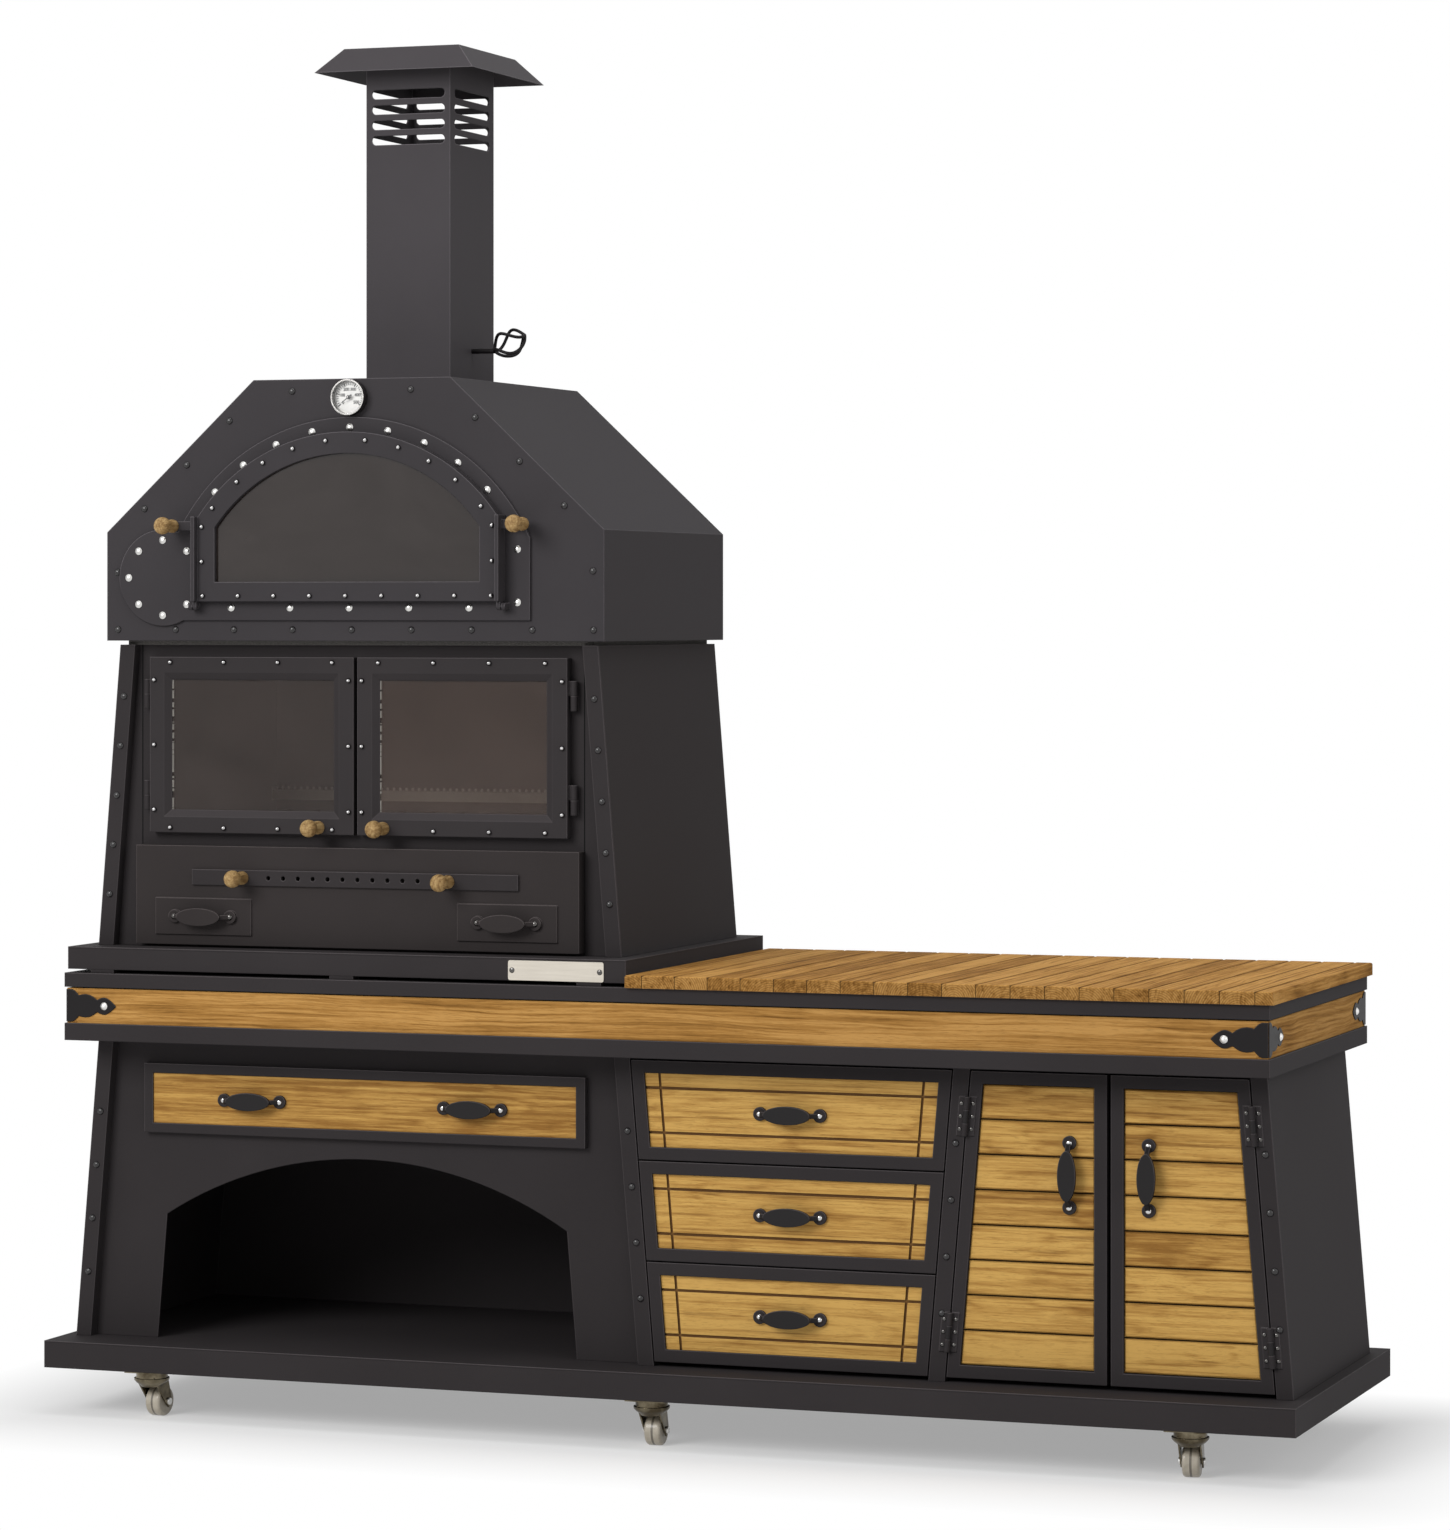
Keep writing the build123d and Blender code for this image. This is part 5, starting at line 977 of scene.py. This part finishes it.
# %% Draw one bell and copy it
BELL = ((35, 78.6), (34.5, 74.5), (30, 69.5), (24, 65), (21, 61.5))
TRAIL = 28 * MM
rim, brim_z = (step * MM for step in BELL[0])
bpy.ops.object.select_all(action="DESELECT")
bpy.ops.mesh.primitive_circle_add(vertices=28, radius=rim, fill_type="NGON", location=(0, 0, brim_z))
bell = bpy.context.object
bpy.ops.object.transform_apply(location=True)
bpy.ops.object.mode_set(mode="EDIT")
bpy.ops.mesh.select_all(action="SELECT")
for (r0, z0), (r1, z1) in zip(BELL, BELL[1:]):
    bpy.ops.mesh.extrude_region_move(TRANSFORM_OT_translate={"value": (0, 0, (z1 - z0) * MM)})
    bpy.ops.transform.resize(value=(r1 / r0, r1 / r0, 1), center_override=(0, 0, z1 * MM))
face_outwards()
bpy.ops.object.shade_smooth_by_angle(angle=math.radians(40))
bell.data.materials.append(zinc)
for number in CASTORS:
    low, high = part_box(f"caster_wheel_{number}")
    axle = axles[f"castor_wheel_{number}"]
    swivel = (low + high) / 2 - TRAIL * Vector((-axle[1], axle[0], 0))
    copy = own_copy(bell, Matrix.Translation((swivel.x, swivel.y, 0)))
    copy.name = f"castor_bell_{number}"
    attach(copy, f"castor_{number}")
bpy.data.objects.remove(bell)
print("last bell at", [round(v, 3) for v in swivel])

# %% [markdown]
# ## Bare plate on the tray
# A small steel plate is riveted to the tray's edge: a plain brushed blank with rounded corners and a rivet at
# each end. A cube is flattened to its size, and only its four short edges are selected and bevelled, so the
# front stays flat and catches the light evenly. The brushing is noise drawn out along the plate.

# %% Bare plate
PLATE_X = oven_x + 448 * MM
PLATE_DOWN = 24 * MM
PLATE_HALF = Vector((98 * MM, 1 * MM, 19 * MM))
PLATE_CORNER = 4 * MM
PLATE_RIVET = 90 * MM


def brushed_blank():
    blank = Finish("brushed_blank")
    axes = blank.axes()
    brush = blank.noise(blank.point(axes[0] * 12.0, axes[1], axes[2] * 1800.0), 1.0, 3.0)
    cloud = blank.noise(blank.spot(), 18.0, 3.0)
    tone = blank.mix(blank.clip(0.6 * brush + 0.4 * cloud), (0.46, 0.42, 0.36), (0.62, 0.58, 0.51))
    rough = 0.34 + 0.25 * (brush - 0.5)
    return blank.paint(Base_Color=tone, Roughness=rough, Metallic=0.85, Normal=blank.bump(brush, 0.05 * MM))


tray_low, tray_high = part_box("oven_tray")
plate_z = tray_high.z - PLATE_DOWN
bpy.ops.object.select_all(action="DESELECT")
bpy.ops.mesh.primitive_cube_add(size=1.0)
plate = bpy.context.object
plate.name = "bare_plate"
plate.data.transform(Matrix.Diagonal((*(2 * PLATE_HALF), 1)))
plate.data.transform(Matrix.Translation((PLATE_X, tray_low.y - PLATE_HALF.y, plate_z)))
pick_edges(plate, lambda a, b: abs(a.y - b.y) > PLATE_HALF.y)
bpy.ops.mesh.bevel(offset=PLATE_CORNER, segments=3)
bpy.ops.object.mode_set(mode="OBJECT")
plate.data.materials.append(brushed_blank())
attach(plate, "kitchen")
plate_y = tray_low.y - 2 * PLATE_HALF.y
plate_ends = [Vector((PLATE_X + side * PLATE_RIVET, plate_y, plate_z)) for side in (-1, 1)]
set_heads(blank_rivet, "bare_plate_rivets", "kitchen", black_chrome, plate_ends)
print("plate faces:", len(plate.data.polygons))

# %% [markdown]
# ## The dial
# The thermometer's face is a white disc inside its steel case, with a ring of ticks and plain numbers. The
# marks could be drawn by a shader, but small flat planes and text made into a mesh stay sharp however close
# the eye comes.

# %% Dial face
CASE_DEEP = 20 * MM
FACE_UP = 6.4 * MM
DIAL_R = 31.6 * MM
FACE_RIM = 2.5 * MM
UPRIGHT = (math.pi / 2, 0, 0)
case_low, case_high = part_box("thermometer_case")
case_middle = (case_low + case_high) / 2
dial = Vector((case_middle.x, case_low.y + CASE_DEEP - FACE_UP, case_middle.z))
bpy.ops.object.select_all(action="DESELECT")
bpy.ops.mesh.primitive_circle_add(vertices=48, radius=DIAL_R, fill_type="NGON", rotation=UPRIGHT)
face = bpy.context.object
face.name = "dial_face"
bpy.ops.object.transform_apply(rotation=True)
bpy.ops.object.mode_set(mode="EDIT")
bpy.ops.mesh.select_all(action="SELECT")
bpy.ops.mesh.inset(thickness=FACE_RIM, depth=0.0)
bpy.ops.object.mode_set(mode="OBJECT")
face.data.transform(Matrix.Translation(dial))
enamel = Finish("dial_enamel")
warm = enamel.noise(enamel.spot(), 60.0, 3.0)
white = enamel.mix(warm, (0.78, 0.77, 0.74), (0.86, 0.85, 0.83))
face.data.materials.append(enamel.paint(Base_Color=white, Roughness=0.35 + 0.1 * warm))
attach(face, "kitchen")
print("dial at", [round(v, 3) for v in dial])

# %% Ticks and plain numbers
MARK_LIFT = 0.3 * MM
SWEEP = 125
LONG_TICK = (2.2 * MM, 6.5 * MM)
SHORT_TICK = (1.3 * MM, 4.5 * MM)
TICK_RADIUS = 26 * MM
TRACK_PART = (2.7 * MM, 0.9 * MM)
TRACK_RADIUS = 29.6 * MM
NUMBER_RADIUS = 17 * MM
NUMBER_SIZE = 8.4 * MM
NUMBER_BOLD = 0.28 * MM


def dial_mark(name, degrees, size, radius):
    """Flat mark of a width and length, at an angle from the dial's top."""
    bpy.ops.object.select_all(action="DESELECT")
    bpy.ops.mesh.primitive_plane_add(size=1.0, rotation=UPRIGHT)
    mark = bpy.context.object
    bpy.ops.object.transform_apply(rotation=True)
    mark.data.transform(Matrix.Diagonal((size[0], 1, size[1], 1)))
    mark.data.transform(Matrix.Translation((0, -MARK_LIFT, radius)))
    mark.data.transform(Matrix.Rotation(math.radians(degrees), 4, "Y"))
    mark.data.transform(Matrix.Translation(dial))
    mark.name = name
    return mark


def dial_number(value, degrees):
    """Upright number as a mesh, in the ring inside the ticks."""
    bpy.ops.object.text_add(rotation=UPRIGHT)
    number = bpy.context.object
    number.data.body = str(value)
    number.data.size = NUMBER_SIZE
    number.data.offset = NUMBER_BOLD
    number.data.align_x = "CENTER"
    number.data.align_y = "CENTER"
    number.location = on_arc(dial.x, dial.y - MARK_LIFT, dial.z, NUMBER_RADIUS, [degrees])[0]
    bpy.ops.object.select_all(action="DESELECT")
    number.select_set(True)
    bpy.ops.object.convert(target="MESH")
    bpy.ops.object.transform_apply(location=True, rotation=True)
    return bpy.context.object


track = [dial_mark("track", 5 * i, TRACK_PART, TRACK_RADIUS) for i in range(-25, 26)]
marks = [dial_mark("tick", angle, SHORT_TICK if i % 5 else LONG_TICK, TICK_RADIUS)
         for i, angle in enumerate(spread(-SWEEP, SWEEP, 26))]
marks += [dial_number(value, angle) for value, angle in zip(range(0, 600, 100), spread(-SWEEP, SWEEP, 6))]
marks += track
bpy.ops.object.select_all(action="DESELECT")
for mark in marks:
    mark.select_set(True)
bpy.context.view_layer.objects.active = marks[0]
bpy.ops.object.join()
ticks = bpy.context.object
ticks.name = "dial_marks"
ticks.data.materials.clear()
ink = Finish("dial_ink")
black = ink.mix(ink.noise(ink.spot(), 200.0), (0.012, 0.012, 0.013), (0.03, 0.03, 0.03))
ticks.data.materials.append(ink.paint(Base_Color=black, Roughness=0.5))
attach(ticks, "kitchen")
print("dial marks:", len(marks))

# %% Put the model heads away
for head in heads:
    bpy.data.objects.remove(head)

# %% [markdown]
# ## Floor and light
# The kitchen stands on a white sweep under three soft boxes. More light would whiten the floor, but it would
# bleach the wood too, so the floor glows by itself for the rays that are seen, less so near the plinth, where
# the shadow has to show. The room does the same: plain white where it is seen, and dimmer where it lights.


# %% White sweep
FLOOR_SIZE = 60.0
FLOOR_GLOW = 0.36
SHADOW_NEAR = 0.02
SHADOW_FADE = 0.34


def white_floor():
    """Sweep that shows the shadow close to the plinth and runs out to plain white."""
    sheet = Finish("white_floor")
    sheet.paint(Base_Color=(0.92, 0.92, 0.92), Roughness=0.9, Specular_IOR_Level=0.0)
    x, y = sheet.axes()[:2]
    beside = sheet.sum("MAXIMUM", abs(x) - cad_box[1][0], 0.0)
    before = sheet.sum("MAXIMUM", abs(y) - cad_box[1][1], 0.0)
    away = sheet.sum("SQRT", beside * beside + before * before)
    share = FLOOR_GLOW + (1.0 - FLOOR_GLOW) * sheet.clip((away - SHADOW_NEAR) / SHADOW_FADE)
    lit = Wire(sheet, sheet.shader.outputs[0])
    glow = sheet.node("ShaderNodeEmission", None, {"Strength": 1.0})
    blend = sheet.node("ShaderNodeMixShader", None, {0: share * sheet.seen_rays(), 1: lit, 2: glow})
    sheet.feed(sheet.tree.nodes["Material Output"].inputs["Surface"], blend)
    return sheet.material


bpy.ops.object.select_all(action="DESELECT")
bpy.ops.mesh.primitive_plane_add(size=FLOOR_SIZE, location=(0, 0, 0))
floor = bpy.context.object
floor.name = "floor"
floor.data.materials.append(white_floor())

# %% White room
WHITE = (1.0, 1.0, 1.0, 1.0)
ROOM_LIGHT = 0.36
world = bpy.data.worlds.new("white_room")
bpy.context.scene.world = world
world.use_nodes = True
room = Graph(world.node_tree)
background = room.tree.nodes["Background"]
background.inputs["Color"].default_value = WHITE
background.inputs["Strength"].default_value = ROOM_LIGHT
lit = Wire(room, background.outputs[0])
plain = room.node("ShaderNodeBackground", None, {"Color": WHITE, "Strength": 1.0})
either = room.node("ShaderNodeMixShader", None, {0: room.seen_rays(), 1: lit, 2: plain})
room.feed(room.tree.nodes["World Output"].inputs["Surface"], either)
print("room light", ROOM_LIGHT)


# %% Soft boxes
def soft_box(name, place, target, size, power):
    lamp = bpy.data.lights.new(name, "AREA")
    lamp.shape = "RECTANGLE"
    lamp.size, lamp.size_y = size
    lamp.energy = power
    box = bpy.data.objects.new(name, lamp)
    bpy.context.scene.collection.objects.link(box)
    box.location = place
    box.rotation_euler = (Vector(target) - Vector(place)).to_track_quat("-Z", "Y").to_euler()


soft_box("front_box", (-2.6, -6.0, 4.0), (0, 0, 1.4), (3.5, 3.0), 286)
soft_box("side_box", (6.0, -2.0, 3.0), (0, 0, 1.0), (2.5, 3.5), 46)
soft_box("top_box", (0.5, -0.5, 6.0), (0, 0, 0.8), (4.0, 3.0), 88)
print("lamps:", {lamp.name: lamp.energy for lamp in bpy.data.lights})

# %% [markdown]
# ## Camera
# The kitchen is seen from the right and from above the worktop, through a long lens. A camera that is tipped
# down makes uprights lean, so this one is kept level, and its shift stands for the rising front of a view
# camera.

# %% Camera
PHOTO = (1450, 1530)
LENS_PX = 4954.2
SIGHT_PX = (786.2, 613.2)
CAMERA_PLACE = (3379.5 * MM, -9113.9 * MM, 1584.2 * MM)
CAMERA_TURN = 0.34
SENSOR = 36.0
camera = bpy.data.cameras.new("view")
longest = max(PHOTO)
camera.sensor_fit = "AUTO"
camera.sensor_width = SENSOR
camera.lens = LENS_PX * SENSOR / longest
camera.shift_x = (PHOTO[0] / 2 - SIGHT_PX[0]) / longest
camera.shift_y = (SIGHT_PX[1] - PHOTO[1] / 2) / longest
viewer = bpy.data.objects.new("view", camera)
bpy.context.scene.collection.objects.link(viewer)
viewer.location = CAMERA_PLACE
viewer.rotation_euler = (math.pi / 2, 0, CAMERA_TURN)
bpy.context.scene.camera = viewer
bpy.context.scene.view_settings.view_transform = "Standard"
print("lens", round(camera.lens, 1), "mm")
